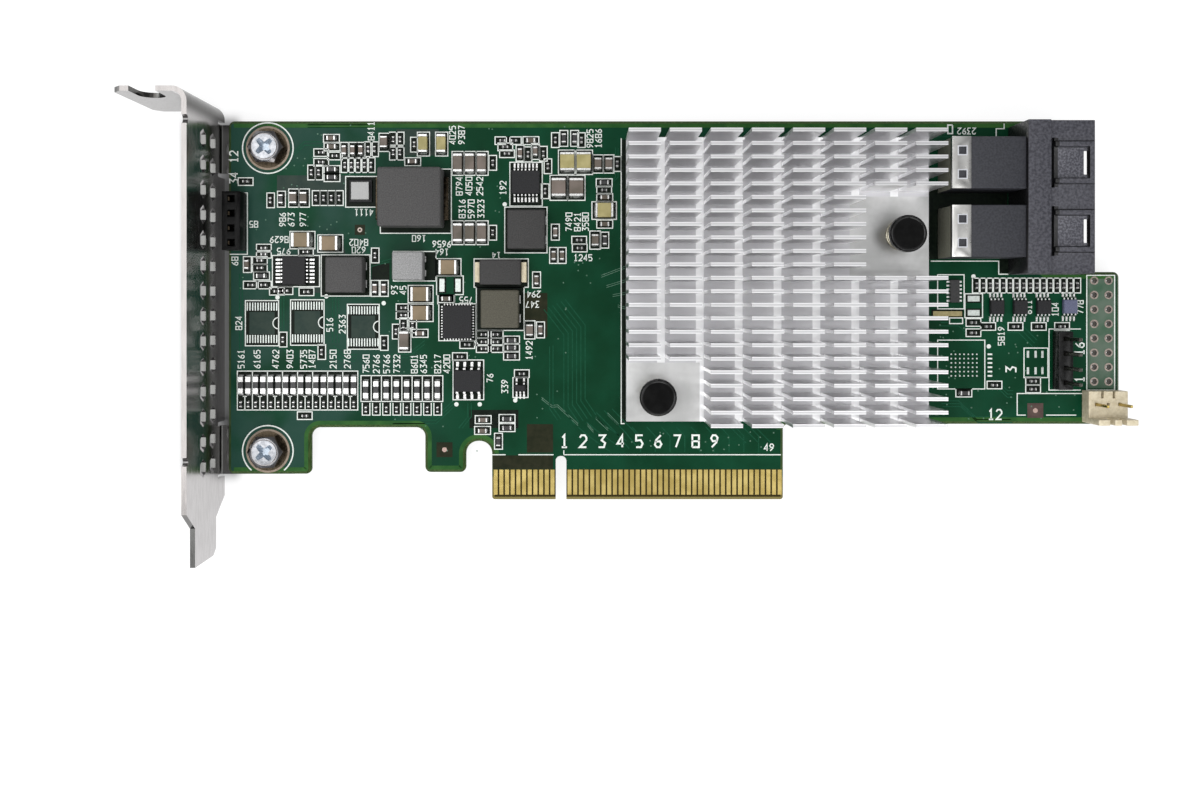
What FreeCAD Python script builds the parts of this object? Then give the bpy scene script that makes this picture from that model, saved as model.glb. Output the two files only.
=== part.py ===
import FreeCAD, Part
import math
import os
import re
import Sketcher

# Driving sizes in millimetres. X runs along the card from the middle of the key notch, Y runs up
# from the contact edge and Z runs out of the component side from the middle of the board.
SIZES = {
    # Circuit board
    "board_thickness": 1.57,
    "board_left": 58.6,
    "board_right": 98.4,
    "board_height": 66.7,
    "shelf_height": 13.3,
    "tab_top": 40.1,
    "tab_width": 13.4,
    "ear_width": 14.6,
    "ear_bottom": 4.5,
    "gap_top": 12.7,
    "gap_radius": 1.6,
    "hook_width": 7.2,
    "hook_bottom": 4.8,
    "relief_width": 4.6,
    "relief_top": 10.3,
    "key_width": 1.9,
    "key_depth": 7.7,
    "key_radius": 0.9,
    "corner_radius": 1.0,
    "bevel_size": 0.5,
    # Contacts of the tongue
    "left_contacts": 11,
    "right_contacts": 38,
    "contact_pitch": 1.0,
    "contact_width": 0.7,
    "contact_start": 0.9,
    "contact_end": 5.3,
    "contact_thickness": 0.05,
    "key_clearance": 1.5,
    "tongue_margin": 0.65,
    # Mounting bracket
    "sheet_thickness": 0.86,
    "bracket_gap": 1.8,
    "bracket_width": 18.42,
    "bracket_below_board": 2.0,
    "bracket_tip": 9.3,
    "flange_rise": 2.3,
    "flange_reach": 12.3,
    "bend_radius": 1.6,
    "slot_width": 4.4,
    "slot_depth": 6.0,
    "slot_offset": 6.4,
    "flange_corner": 1.4,
    "tongue_inset": 4.4,
    "tongue_width": 10.19,
    "taper_top": 0.2,
    "taper_length": 3.0,
    "tip_bevel": 1.8,
    "edge_notch_radius": 0.7,
    "edge_notch_margin": 2.2,
    "vent_rows": 14,
    "vent_pitch": 4.3,
    "vent_first": 6.6,
    "vent_radius": 1.6,
    "vent_column_low": 6.2,
    "vent_column_pitch": 4.7,
    # Bracket tabs and screws
    "screw_inset": 7.0,
    "screw_lower": 8.6,
    "screw_upper_drop": 4.8,
    "bracket_tab_width": 8.6,
    "bracket_tab_reach": 13.2,
    "bracket_tab_relief": 0.7,
    "bracket_tab_bend": 0.4,
    "tab_recess_height": 1.5,
    "tab_overlap": 0.5,
    "collar_radius": 2.5,
    "collar_height": 1.0,
    "screw_hole_radius": 1.6,
    "screw_thread_radius": 1.48,
    "thread_clearance": 0.02,
    "screw_head_radius": 3.1,
    "screw_head_height": 2.4,
    "screw_dome_radius": 2.5,
    "screw_dome_height": 0.4,
    "screw_recess_length": 3.4,
    "screw_recess_width": 0.8,
    "screw_recess_depth": 1.3,
    # Controller under the heatsink
    "substrate_size": 27.0,
    "substrate_height": 1.0,
    "die_length": 11.0,
    "die_width": 9.6,
    "die_height": 0.7,
    "pad_margin": 1.0,
    "pad_height": 0.2,
    # Heatsink
    "heatsink_gap": 2.57,
    "heatsink_bottom": 14.2,
    "base_thickness": 2.0,
    "fin_columns": 8,
    "fin_column_pitch": 6.7,
    "fin_length": 5.25,
    "fin_rows": 23,
    "fin_row_pitch": 2.2,
    "fin_thickness": 0.6,
    "fin_height": 9.8,
    "left_pocket_columns": 2,
    "left_pocket_rows": 5,
    "right_pocket_columns": 2,
    "right_pocket_first_row": 5,
    "right_pocket_rows": 6,
    # Push pins
    "left_pin_x": 5.2,
    "left_pin_y": 4.5,
    "right_pin_x": 4.9,
    "right_pin_y": 32.1,
    "pin_radius": 1.3,
    "pin_clearance": 0.2,
    "pin_head_radius": 3.15,
    "pin_head_height": 1.4,
    "pin_head_bevel": 0.4,
    "pin_barb_radius": 1.9,
    "pin_barb_length": 1.85,
    "pin_barb_clearance": 0.05,
    "spring_length": 3.6,
    "spring_radius": 2.4,
    "spring_wire": 0.6,
    "spring_turns": 3,
    "spring_seat": 0.02,
    # Double port connector
    "housing_left": 19.7,
    "housing_length": 11.6,
    "housing_width": 25.9,
    "housing_centre": 14.15,
    "housing_height": 7.8,
    "band_length": 3.9,
    "band_height": 8.6,
    "port_pitch": 11.55,
    "port_width": 9.6,
    "port_height": 6.2,
    "port_floor": 0.8,
    "rear_wall": 1.3,
    "frame_length": 6.6,
    "frame_width": 7.0,
    "frame_rise": 0.5,
    "frame_wall": 0.8,
    "frame_recess": 0.2,
    "slit_depth": 3.9,
    "slit_length": 0.7,
    "slit_width": 4.0,
    "latch_slot_length": 0.8,
    "latch_slot_width": 8.4,
    "receptacle_length": 12.4,
    "receptacle_width": 8.8,
    "receptacle_height": 7.9,
    "nose_length": 6.6,
    "nose_width": 7.4,
    "nose_bottom": 1.3,
    "nose_height": 5.2,
    "nose_clearance": 0.1,
    "card_slot_width": 6.2,
    "card_slot_height": 1.0,
    "card_slot_depth": 3.6,
    "card_slot_low": 1.3,
    "card_slot_pitch": 2.6,
    "port_contact_count": 8,
    "port_contact_width": 0.3,
    "port_contact_pitch": 0.7,
    "port_contact_thickness": 0.15,
    "port_contact_setback": 0.3,
    "clip_length": 3.0,
    "clip_thickness": 0.25,
    "clip_drop": 0.9,
    "clip_window": 1.3,
    "clip_window_offset": 2.0,
    # Headers
    "pin_pitch": 2.54,
    "hole_radius": 0.5,
    "test_hole_inset": 2.0,
    "test_rows": 8,
    "test_first": 20.8,
    "header_pin": 0.64,
    "header_body_height": 2.5,
    "header_pin_height": 8.0,
    "header_tail": 1.3,
    "header_inset": 10.6,
    "header_bottom": 19.5,
    "header_positions": 4,
    "bus_header_bottom": 43.8,
    "bus_header_width": 3.2,
    "bus_header_height": 3.4,
    "bus_socket": 1.2,
    "bus_socket_depth": 2.4,
    "bus_contact_thickness": 0.3,
    "bus_contact_width": 0.6,
    "bus_contact_height": 2.2,
    "lock_pitch": 2.0,
    "lock_inset": 3.3,
    "lock_length": 6.8,
    "lock_bottom": 13.7,
    "lock_body_width": 4.6,
    "lock_body_height": 2.6,
    "lock_wall_thickness": 1.0,
    "lock_wall_height": 6.2,
    "lock_groove": 0.4,
    "lock_groove_length": 1.2,
    "lock_slot_depth": 2.6,
    "lock_pin": 0.5,
    "lock_pin_height": 6.6,
    # Chip packages
    "standoff": 0.1,
    "lead_pitch_fine": 0.65,
    "lead_pitch_coarse": 1.27,
    "lead_width_fine": 0.25,
    "lead_width_coarse": 0.42,
    "lead_reach": 1.0,
    "lead_thickness": 0.15,
    "chip_height": 1.0,
    "memory_height": 1.5,
    "inductor_height": 3.0,
    "main_inductor_height": 5.0,
    "terminal_reach": 0.9,
    "terminal_height": 1.4,
    "main_terminal_width": 7.56,
    "end_terminal_width": 3.52,
    "end_terminal_height": 1.8,
    # How far a cutting shape starts outside the face that it cuts
    "cut_margin": 1.0,
}

# Case sizes of the chip components: length, width, height
CASES = {
    "large": (3.2, 2.5, 1.6),
    "long": (3.2, 1.6, 1.3),
    "medium": (2.0, 1.25, 1.0),
    "small": (1.6, 0.8, 0.75),
    "tiny": (1.0, 0.5, 0.45),
    "slim": (3.1, 1.0, 0.6),
    "network": (4.0, 1.6, 0.6),
}
for case, extents in CASES.items():
    for extent, size in zip(("length", "width", "height"), extents):
        SIZES[f"{case}_{extent}"] = size



def from_right(inset):
    """A place along X that follows the right edge of the board."""
    return f"(board_right - {inset:.2f})"


# Centres of the chip components on the board; upright ones lie along Y, flat ones along X
FILM_UPRIGHT = [(1.1, 59.4), (4.0, 59.4)]
FILM_FLAT = [(7.6, 50.9)]
BULK_UPRIGHT = [(-0.4, 54.9), (2.7, 54.9)]
BULK_FLAT = [(-45.5, 45.7), (-40.6, 45.1), (-19.8, 40.9), (-24.7, 36.2), (-24.7, 32.9)]
LONG_UPRIGHT = [(x, y) for x in (-18.1, -16.0, -13.9) for y in (47.0, 59.2)]
LONG_UPRIGHT += [(-27.5, 28.1), (-24.2, 62.6), (-21.0, 62.6)]
MEDIUM_UPRIGHT = [(-47.0, 53.1), (-45.2, 53.1), (-31.1, 62.9), (6.5, 59.1), (8.4, 59.1),
                  (-5.5, 29.9), (6.0, 45.7)]
SMALL_UPRIGHT = [(-38.1, 61.5), (-36.6, 61.5), (-35.2, 61.5), (-32.7, 37.2), (-31.1, 37.2),
                 (-55.2, 41.4), (-7.2, 61.0), (-4.5, 61.3), (-1.0, 47.1), (-1.3, 43.0),
                 (0.2, 43.0), (-4.3, 38.7), (-3.6, 29.9)]
SMALL_FLAT = [(-40.4, 63.6), (-40.3, 62.1), (-26.1, 59.5), (-5.3, 63.2), (7.7, 53.2),
              (7.7, 48.5), (-20.2, 35.4), (-24.8, 29.3), (-13.7, 14.1), (-13.8, 12.2)]
RESISTOR_UPRIGHT = [(-49.2, 52.9), (0.5, 63.6), (2.4, 63.6), (7.7, 45.7), (-11.0, 10.3)]
RESISTOR_FLAT = [(-40.3, 58.1), (-40.3, 56.7), (-52.7, 39.4), (7.6, 55.8), (-8.7, 28.1),
                 (-8.7, 26.8), (-8.7, 25.3), (-9.5, 14.3), (-9.5, 12.7), (from_right(27.5), 18.8)]
TINY_UPRIGHT = [(-33.9, 61.7), (-32.8, 61.7), (-29.5, 63.4), (-28.3, 63.4), (-29.5, 61.1),
                (-28.3, 61.1), (-43.9, 57.6), (-42.6, 57.6), (-51.1, 52.7), (-32.7, 43.0),
                (-48.9, 28.2), (-42.1, 26.0), (-31.1, 27.6), (-29.0, 29.6), (-27.7, 30.7),
                (-26.1, 30.7), (-25.8, 62.5), (-12.0, 59.3), (-12.0, 47.0), (-5.8, 60.8),
                (-3.1, 60.9), (-2.3, 58.7), (-1.0, 63.3), (3.6, 63.3), (9.9, 59.1), (-2.8, 54.3)]
TINY_UPRIGHT += [(-38.0 + 1.15 * step, 58.9) for step in range(5)]
TINY_UPRIGHT += [(-43.1 + 1.37 * step, 53.1) for step in range(4)]
TINY_UPRIGHT += [(from_right(25.3 - 1.18 * step), 37.7) for step in range(16)]
TINY_FLAT = [(-42.2, 61.1), (-39.8, 60.5), (-42.2, 59.4), (-55.5, 56.0), (-52.3, 44.3),
             (-52.3, 43.2), (-53.0, 42.1), (-53.0, 40.8), (-54.6, 37.8), (-52.3, 37.8),
             (-44.9, 43.6), (-50.0, 36.7), (-48.5, 36.8), (-44.8, 36.6), (-27.7, 33.8),
             (-27.7, 32.5), (-45.1, 14.8), (-10.3, 63.2), (-8.3, 63.2), (-9.8, 62.1),
             (-9.5, 60.9), (7.6, 54.5), (3.2, 45.7), (3.3, 44.3), (-16.5, 27.3),
             (-17.8, 25.2), (-6.9, 22.2)]
TINY_FLAT += [(from_right(inset), y) for inset, y in (
    (25.8, 31.2), (25.8, 29.4), (22.1, 20.2), (15.3, 20.9), (15.3, 19.5), (23.2, 30.5), (18.4, 30.5),
    (14.3, 30.5), (10.2, 30.5))]
TINY_FLAT += [(x, y) for x in (-13.6, -11.5) for y in (29.1, 27.8, 26.6)]
BLOCK_LEFT = [-56.3 + 1.325 * step for step in range(16)]
BLOCK_RIGHT = [-34.3 + 1.8 * step for step in range(8)]
SLIM_UPRIGHT = [(x, 20.2) for x in BLOCK_LEFT] + [(x, 19.4) for x in BLOCK_RIGHT]
TINY_RESISTOR_UPRIGHT = [(x, 16.8) for x in BLOCK_LEFT] + [(x, 15.9) for x in BLOCK_RIGHT]
NETWORK_UPRIGHT = [(from_right(29.2), 36.7)]

# Blocks on the board: centre, length along X, length along Y
MOULDED_INDUCTORS = {
    "input_inductor": (-37.6, 39.55, 6.5, 6.2),
    "grey_inductor": (-26.6, 41.1, 5.3, 4.9),
    "core_inductor": (-6.0, 47.45, 6.6, 6.8),
    "memory_inductor": (-10.6, 33.6, 6.6, 6.6),
}
MAIN_INDUCTOR = (-26.0, 52.9, 11.0, 10.2)
END_INDUCTOR = (-10.5, 40.0, 7.2, 4.4)
OSCILLATOR = (-35.2, 54.3, 4.0, 3.9)
POWER_STAGE = (-18.2, 31.3, 5.1, 5.8)
LEFT_REGULATOR = (-46.8, 40.3, 4.2, 5.0)
RIGHT_REGULATOR = (-6.2, 55.8, 5.0, 4.2)
FLASH_MEMORY = (-16.3, 21.0, 4.9, 3.9)
SUPERVISOR = (-7.15, 19.7, 2.0, 1.25)
BUFFERS = [(from_right(inset), 33.9, 2.5, 2.5) for inset in (21.9, 17.8, 13.7)]
SENSOR = (from_right(9.1), 34.0, 2.5, 2.5)

# Heights and places that several pieces share
FRONT = "board_thickness / 2"
BACK = "-board_thickness / 2"
TONGUE_LEFT = "(key_clearance + (left_contacts - 1) * contact_pitch + tongue_margin)"
TONGUE_RIGHT = "(key_clearance + (right_contacts - 1) * contact_pitch + tongue_margin)"
HOOK_RIGHT = f"({TONGUE_LEFT} + relief_width)"
HOOK_LEFT = f"({HOOK_RIGHT} + hook_width)"
EAR_RIGHT = "(board_left - ear_width)"
PORT_EDGE = "(board_right - tab_width)"
SCREW_X = "-(board_left - screw_inset)"
SCREW_Y = ("screw_lower", "(board_height - screw_upper_drop)")
BRACKET_FACE = "(board_left + bracket_gap)"
FLANGE_LEVEL = "(board_height + flange_rise)"
BRACKET_LOW = f"({BACK} - bracket_below_board)"
HEATSINK_LENGTH = "((fin_columns - 1) * fin_column_pitch + fin_length)"
HEATSINK_WIDTH = "((fin_rows - 1) * fin_row_pitch + fin_thickness)"
HOUSING_LEFT = "(board_right - housing_left)"
HOUSING_RIGHT = f"({HOUSING_LEFT} + housing_length)"
RECEPTACLE_REAR = f"({HOUSING_LEFT} - receptacle_length)"
HEATSINK_RIGHT = f"({RECEPTACLE_REAR} - clip_thickness - heatsink_gap)"
HEATSINK_LEFT = f"({HEATSINK_RIGHT} - {HEATSINK_LENGTH})"
HEATSINK_TOP = f"(heatsink_bottom + {HEATSINK_WIDTH})"
BASE_LOW = f"({FRONT} + substrate_height + die_height + pad_height)"
BASE_TOP = f"({BASE_LOW} + base_thickness)"
PUSH_PINS = (
    (f"{HEATSINK_LEFT} + left_pin_x", "heatsink_bottom + left_pin_y"),
    (f"{HEATSINK_RIGHT} - right_pin_x", "heatsink_bottom + right_pin_y"),
)
HOUSING_MIDDLE = "(board_height - housing_centre)"
PORTS = {
    "upper": f"({HOUSING_MIDDLE} + port_pitch / 2)",
    "lower": f"({HOUSING_MIDDLE} - port_pitch / 2)",
}
TEST_COLUMNS = ("board_right - test_hole_inset - pin_pitch", "board_right - test_hole_inset")
HEADER_X = "(board_right - header_inset)"
LOCK_X = "(board_right - lock_inset)"
LOCK_BACK_Y = "(lock_bottom + lock_wall_thickness + lock_body_width / 2)"

# The round end of a slot takes the width over this, a little less than half
ROUND_END = 2.1

# Sides of the small holes through the board and of the spring wire
HOLE_SIDES = 8
WIRE_SIDES = 4

doc = FreeCAD.newDocument("host_bus_adapter")
sheet = doc.addObject("Spreadsheet::Sheet", "Dimensions")
for row, (alias, size) in enumerate(SIZES.items(), start=1):
    sheet.set(f"A{row}", alias)
    sheet.set(f"B{row}", str(size))
    sheet.setAlias(f"B{row}", alias)
doc.recompute()

nodes = []


def bind(item, prop, text):
    """Ties one property to a formula of the driving sizes."""
    names = "|".join(sorted(set(re.findall(r"[a-z_]\w*", text)) & set(SIZES)))
    item.setExpression(prop, re.sub(rf"\b({names})\b", r"Dimensions.\1", text) if names else text)


def place(item, x="0", y="0", z="0"):
    """Ties the position of an item to formulas of the driving sizes."""
    for axis, text in zip("xyz", (x, y, z)):
        bind(item, f"Placement.Base.{axis}", text)


def keep(item, label):
    """Lists an item as one named piece of the card."""
    item.Label = label
    nodes.append(item)
    return item


def rectangle(left, right, low, high, radius=None):
    """Four corners, each with the same rounding."""
    return [(left, low, radius), (right, low, radius), (right, high, radius), (left, high, radius)]


def polygon(x, y, radius, sides):
    """The corners of a regular polygon round a centre, the first of them along the first axis."""
    angles = [360 / sides * step for step in range(sides)]
    return [(f"{x} + {radius} * cos({angle} deg)", f"{y} + {radius} * sin({angle} deg)", None)
            for angle in angles]


def new_body(name):
    """An empty body made of features."""
    return doc.addObject("PartDesign::Body", name)


def blank_sketch(body, role, offset):
    """A sketch on one plane of a body, moved along that plane's normal."""
    sketch = body.newObject("Sketcher::SketchObject", f"{body.Name}_sketch")
    plane = next(item for item in body.Origin.OriginFeatures if item.Role == role)
    sketch.AttachmentSupport = [(plane, "")]
    sketch.MapMode = "FlatFace"
    bind(sketch, "AttachmentOffset.Base.z", offset)
    return sketch


def hold_point(sketch, geometry, position, x, y):
    """Ties one point of a sketch to formulas for its two coordinates."""
    for kind, text in (("DistanceX", x), ("DistanceY", y)):
        index = sketch.addConstraint(Sketcher.Constraint(kind, -1, 1, geometry, position, 1.0))
        bind(sketch, f"Constraints[{index}]", text)


def outline(body, role, corners, offset):
    """A closed outline through the corners."""
    sketch = blank_sketch(body, role, offset)
    count = len(corners)
    turn = 2 * math.pi / count
    start = [FreeCAD.Vector(math.cos(turn * step), math.sin(turn * step), 0) for step in range(count)]
    for step in range(count):
        sketch.addGeometry(Part.LineSegment(start[step], start[(step + 1) % count]))
    for step in range(count):
        sketch.addConstraint(Sketcher.Constraint("Coincident", step, 2, (step + 1) % count, 1))
    for step, corner in enumerate(corners):
        hold_point(sketch, step, 1, corner[0], corner[1])
    return sketch


def circles(body, role, rounds, offset):
    """Several circles, each a centre and a radius."""
    sketch = blank_sketch(body, role, offset)
    for index, (x, y, radius) in enumerate(rounds):
        sketch.addGeometry(Part.Circle(FreeCAD.Vector(3 * index, 0, 0), FreeCAD.Vector(0, 0, 1), 1))
        hold_point(sketch, index, 3, x, y)
        size = sketch.addConstraint(Sketcher.Constraint("Radius", index, 1.0))
        bind(sketch, f"Constraints[{size}]", radius)
    return sketch


def feature(body, kind, sketch, length, reverse=False):
    """Material added to or cut from a body along the normal of a sketch."""
    item = body.newObject(f"PartDesign::{kind}", f"{body.Name}_{kind.lower()}")
    item.Profile = sketch
    item.Reversed = reverse
    bind(item, "Length", length)
    return item


def corner_edges(base, sketch, corners, radius):
    """Names of the straight edges of a feature that stand on the outline corners of one radius."""
    normal = sketch.Placement.Rotation.multVec(FreeCAD.Vector(0, 0, 1))
    feet = [sketch.Placement.multVec(sketch.Geometry[step].StartPoint)
            for step, corner in enumerate(corners) if corner[2] == radius]
    names = []
    for index, edge in enumerate(base.Shape.Edges, start=1):
        ends = [vertex.Point for vertex in edge.Vertexes]
        if len(ends) != 2 or (ends[1] - ends[0]).cross(normal).Length > 1e-6:
            continue
        if any((ends[0] - foot).cross(normal).Length < 1e-4 for foot in feet):
            names.append(f"Edge{index}")
    return names


def block(body, role, corners, offset, length, kind="Pad", reverse=False):
    """A prism over an outline, added or cut, with its marked corners rounded."""
    sketch = outline(body, role, corners, offset)
    base = feature(body, kind, sketch, length, reverse)
    for radius in dict.fromkeys(corner[2] for corner in corners if corner[2]):
        doc.recompute()
        rounding = body.newObject("PartDesign::Fillet", f"{body.Name}_rounding")
        rounding.Base = (base, corner_edges(base, sketch, corners, radius))
        bind(rounding, "Radius", radius)
        base = rounding
    return base


def drill(body, role, rounds, offset, length):
    """Round holes cut against the normal of a plane."""
    return feature(body, "Pocket", circles(body, role, rounds, offset), length)


def repeat(body, original, axis, count, pitch, reverse=False):
    """A row of copies of one feature along an axis of the body."""
    row_of = body.newObject("PartDesign::LinearPattern", f"{body.Name}_row")
    direction = next(item for item in body.Origin.OriginFeatures if item.Role == axis)
    row_of.Originals = [original]
    row_of.Direction = (direction, [""])
    row_of.Mode = "Spacing"
    row_of.Reversed = reverse
    bind(row_of, "Occurrences", count)
    bind(row_of, "Offset", pitch)
    body.Tip = row_of
    return row_of


def revolve(body, corners):
    """A round piece turned about the Z axis of its body."""
    sketch = outline(body, "XZ_Plane", corners, "0")
    item = body.newObject("PartDesign::Revolution", f"{body.Name}_turned")
    item.Profile = sketch
    item.ReferenceAxis = (sketch, ["V_Axis"])
    item.Angle = 360
    return item


def box(name, length, width, height, x, y, z):
    """A rectangular block from its lowest corner."""
    item = doc.addObject("Part::Box", name)
    bind(item, "Length", length)
    bind(item, "Width", width)
    bind(item, "Height", height)
    place(item, x, y, z)
    return item


def group(name, members):
    """Separate solids that make one named piece."""
    item = doc.addObject("Part::Compound", name)
    item.Links = members
    return keep(item, name)


def chips(name, case, upright, flat=()):
    """A group of chip components of one case size."""
    long_side, short_side = f"{case}_length", f"{case}_width"
    members = []
    for spots, along_x, along_y in ((upright, short_side, long_side), (flat, long_side, short_side)):
        for x, y in spots:
            members.append(box(f"{name}_one", along_x, along_y, f"{case}_height",
                               f"{x} - {along_x} / 2", f"{y} - {along_y} / 2", FRONT))
    return group(name, members)


def package(name, spot, height, lift="standoff"):
    """The moulded block of a chip package."""
    x, y, along_x, along_y = spot
    return box(name, str(along_x), str(along_y), height,
               f"{x} - {along_x} / 2", f"{y} - {along_y} / 2", f"{FRONT} + {lift}")


def lead(x, y, angle, width, shoulder):
    """A bent lead that slopes from the side of a package down to its foot."""
    item = doc.addObject("Part::Wedge", "lead")
    for prop, text in (("Xmin", f"-{width} / 2"), ("X2min", f"-{width} / 2"), ("Xmax", f"{width} / 2"),
                       ("X2max", f"{width} / 2"), ("Ymin", "0"), ("Ymax", "lead_reach"), ("Zmin", "0"),
                       ("Z2min", "0"), ("Zmax", shoulder), ("Z2max", "lead_thickness")):
        bind(item, prop, text)
    place(item, x, y, FRONT)
    item.Placement.Rotation = FreeCAD.Rotation(FreeCAD.Vector(0, 0, 1), angle)
    return item


def lead_rows(spot, count, pitch, width, shoulder, sideways, free=()):
    """The leads along two facing sides of a package, apart from the places that are free."""
    x, y, along_x, along_y = spot
    members = []
    for step in range(count):
        shift = f"{step - (count - 1) / 2} * {pitch}"
        for sign in (1, -1):
            if (step, sign) in free:
                continue
            if sideways:
                spot_x, spot_y, angle = f"{x} + {sign * along_x / 2}", f"{y} + {shift}", -90 * sign
            else:
                spot_x, spot_y, angle = f"{x} + {shift}", f"{y} + {sign * along_y / 2}", 90 - 90 * sign
            members.append(lead(spot_x, spot_y, angle, width, shoulder))
    return members


# Circuit board with its tongue, key notch, hook, ear and tab
board = keep(new_body("circuit_board"), "circuit_board")
board_outline = [
    ("-board_left", "ear_bottom", "corner_radius"),
    (f"-{EAR_RIGHT}", "ear_bottom", "corner_radius"),
    (f"-{EAR_RIGHT}", "gap_top", "gap_radius"),
    (f"-{HOOK_LEFT}", "gap_top", "gap_radius"),
    (f"-{HOOK_LEFT}", "hook_bottom", "corner_radius"),
    (f"-{HOOK_RIGHT}", "hook_bottom", "corner_radius"),
    (f"-{HOOK_RIGHT}", "relief_top", f"relief_width / {ROUND_END}"),
    (f"-{TONGUE_LEFT}", "relief_top", f"relief_width / {ROUND_END}"),
    (f"-{TONGUE_LEFT}", "0", "bevel_size"),
    ("-key_width / 2", "0", None),
    ("-key_width / 2", "key_depth", "key_radius"),
    ("key_width / 2", "key_depth", "key_radius"),
    ("key_width / 2", "0", None),
    (TONGUE_RIGHT, "0", "bevel_size"),
    (TONGUE_RIGHT, "shelf_height", "corner_radius"),
    ("board_right", "shelf_height", "corner_radius"),
    ("board_right", "tab_top", "corner_radius"),
    (PORT_EDGE, "tab_top", "corner_radius"),
    (PORT_EDGE, "board_height", "corner_radius"),
    ("-board_left", "board_height", "corner_radius"),
]
board_solid = block(board, "XY_Plane", board_outline, BACK, "board_thickness")
doc.recompute()
bevel = board.newObject("PartDesign::Chamfer", "tongue_bevel")
bevel_edges = [f"Edge{index}" for index, edge in enumerate(board_solid.Shape.Edges, start=1)
               if edge.BoundBox.YMax < 1e-6 and edge.BoundBox.XLength > 1]
bevel.Base = (board_solid, bevel_edges)
bind(bevel, "Size", "bevel_size")
board_holes = [(SCREW_X, y, "screw_hole_radius") for y in SCREW_Y]
board_holes += [(x, y, "pin_radius + pin_clearance") for x, y in PUSH_PINS]
drill(board, "XY_Plane", board_holes, "board_thickness", "2 * board_thickness")


def hole_row(x, y, axis, count, pitch):
    """A row of small plated holes through the board."""
    first = block(board, "XY_Plane", polygon(x, y, "hole_radius", HOLE_SIDES), "board_thickness",
                  "2 * board_thickness", "Pocket")
    repeat(board, first, axis, count, pitch)


for test_x in TEST_COLUMNS:
    hole_row(test_x, "test_first", "Y_Axis", "test_rows", "pin_pitch")
hole_row(HEADER_X, "header_bottom + pin_pitch / 2", "Y_Axis", "header_positions", "pin_pitch")
hole_row(f"{LOCK_X} - lock_pitch", LOCK_BACK_Y, "X_Axis", "3", "lock_pitch")

# Gold contacts on both faces of the tongue
contact_places = [f"-key_clearance - {step} * contact_pitch" for step in range(SIZES["left_contacts"])]
contact_places += [f"key_clearance + {step} * contact_pitch" for step in range(SIZES["right_contacts"])]
for side, level in (("front_contacts", FRONT), ("back_contacts", f"{BACK} - contact_thickness")):
    group(side, [box("contact", "contact_width", "contact_end - contact_start", "contact_thickness",
                     f"{x} - contact_width / 2", "contact_start", level) for x in contact_places])

# Mounting bracket folded from one sheet
bracket = keep(new_body("mounting_bracket"), "mounting_bracket")
inner, outer = f"-{BRACKET_FACE}", f"-({BRACKET_FACE} + sheet_thickness)"
end_of_flange = f"-({BRACKET_FACE} + flange_reach)"
bracket_profile = [
    (inner, "-bracket_tip", None),
    (inner, f"{FLANGE_LEVEL} + sheet_thickness", "bend_radius + sheet_thickness"),
    (end_of_flange, f"{FLANGE_LEVEL} + sheet_thickness", None),
    (end_of_flange, FLANGE_LEVEL, None),
    (outer, FLANGE_LEVEL, "bend_radius"),
    (outer, "-bracket_tip", None),
]
block(bracket, "XY_Plane", bracket_profile, BRACKET_LOW, "bracket_width")

# Lower tongue of the bracket, cut to width on both sides
beside = f"-{BRACKET_FACE} + cut_margin"
across = "sheet_thickness + 2 * cut_margin"
high_edge = f"{BRACKET_LOW} + bracket_width"
tongue_low = f"{BRACKET_LOW} + tongue_inset"
tongue_high = f"{tongue_low} + tongue_width"
taper_end = "taper_top - taper_length"
past_tip = "-bracket_tip - cut_margin"
for shoulder, root, past in ((BRACKET_LOW, tongue_low, f"{BRACKET_LOW} - cut_margin"),
                             (high_edge, tongue_high, f"{high_edge} + cut_margin")):
    cut = [("taper_top", shoulder, None), (taper_end, root, None), (past_tip, root, None),
           (past_tip, past, None), ("taper_top", past, None)]
    block(bracket, "YZ_Plane", cut, beside, across, "Pocket")
tip_cut = [("-bracket_tip + tip_bevel", f"{tongue_low} - cut_margin", None),
           (past_tip, f"{tongue_low} - cut_margin", None),
           (past_tip, f"{tongue_low} + tip_bevel + cut_margin", None)]
block(bracket, "YZ_Plane", tip_cut, beside, across, "Pocket")

# Vent holes and the two small notches in the high edge
for column in range(2):
    vent_height = f"{BRACKET_LOW} + vent_column_low + {column} * vent_column_pitch"
    vent_corners = polygon("vent_first", vent_height, "vent_radius", 6)
    vent = block(bracket, "YZ_Plane", vent_corners, beside, across, "Pocket")
    repeat(bracket, vent, "Y_Axis", "vent_rows", "vent_pitch")
notch_rounds = [("vent_first + vent_pitch / 2", high_edge, "edge_notch_radius"),
                ("board_height - edge_notch_margin", high_edge, "edge_notch_radius")]
drill(bracket, "YZ_Plane", notch_rounds, beside, across)

# Screw slot of the flange, open to the high edge, and the flange corners
slot_x = f"-({BRACKET_FACE} + sheet_thickness + slot_offset)"
slot_end = f"{high_edge} - slot_depth"
slot = [(f"{slot_x} - slot_width / 2", slot_end, f"slot_width / {ROUND_END}"),
        (f"{slot_x} + slot_width / 2", slot_end, f"slot_width / {ROUND_END}"),
        (f"{slot_x} + slot_width / 2", f"{high_edge} + cut_margin", None),
        (f"{slot_x} - slot_width / 2", f"{high_edge} + cut_margin", None)]
below_flange = f"-({FLANGE_LEVEL} - cut_margin)"
block(bracket, "XZ_Plane", slot, below_flange, across, "Pocket")
for edge_level, outward in ((BRACKET_LOW, -1), (high_edge, 1)):
    past_end = f"{end_of_flange} - cut_margin"
    past_edge = f"{edge_level} + {outward} * cut_margin"
    corner = [(past_end, f"{edge_level} - {outward} * (flange_corner + cut_margin)", None),
              (past_end, past_edge, None),
              (f"{end_of_flange} + flange_corner + cut_margin", past_edge, None)]
    block(bracket, "XZ_Plane", corner, below_flange, across, "Pocket")

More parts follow.
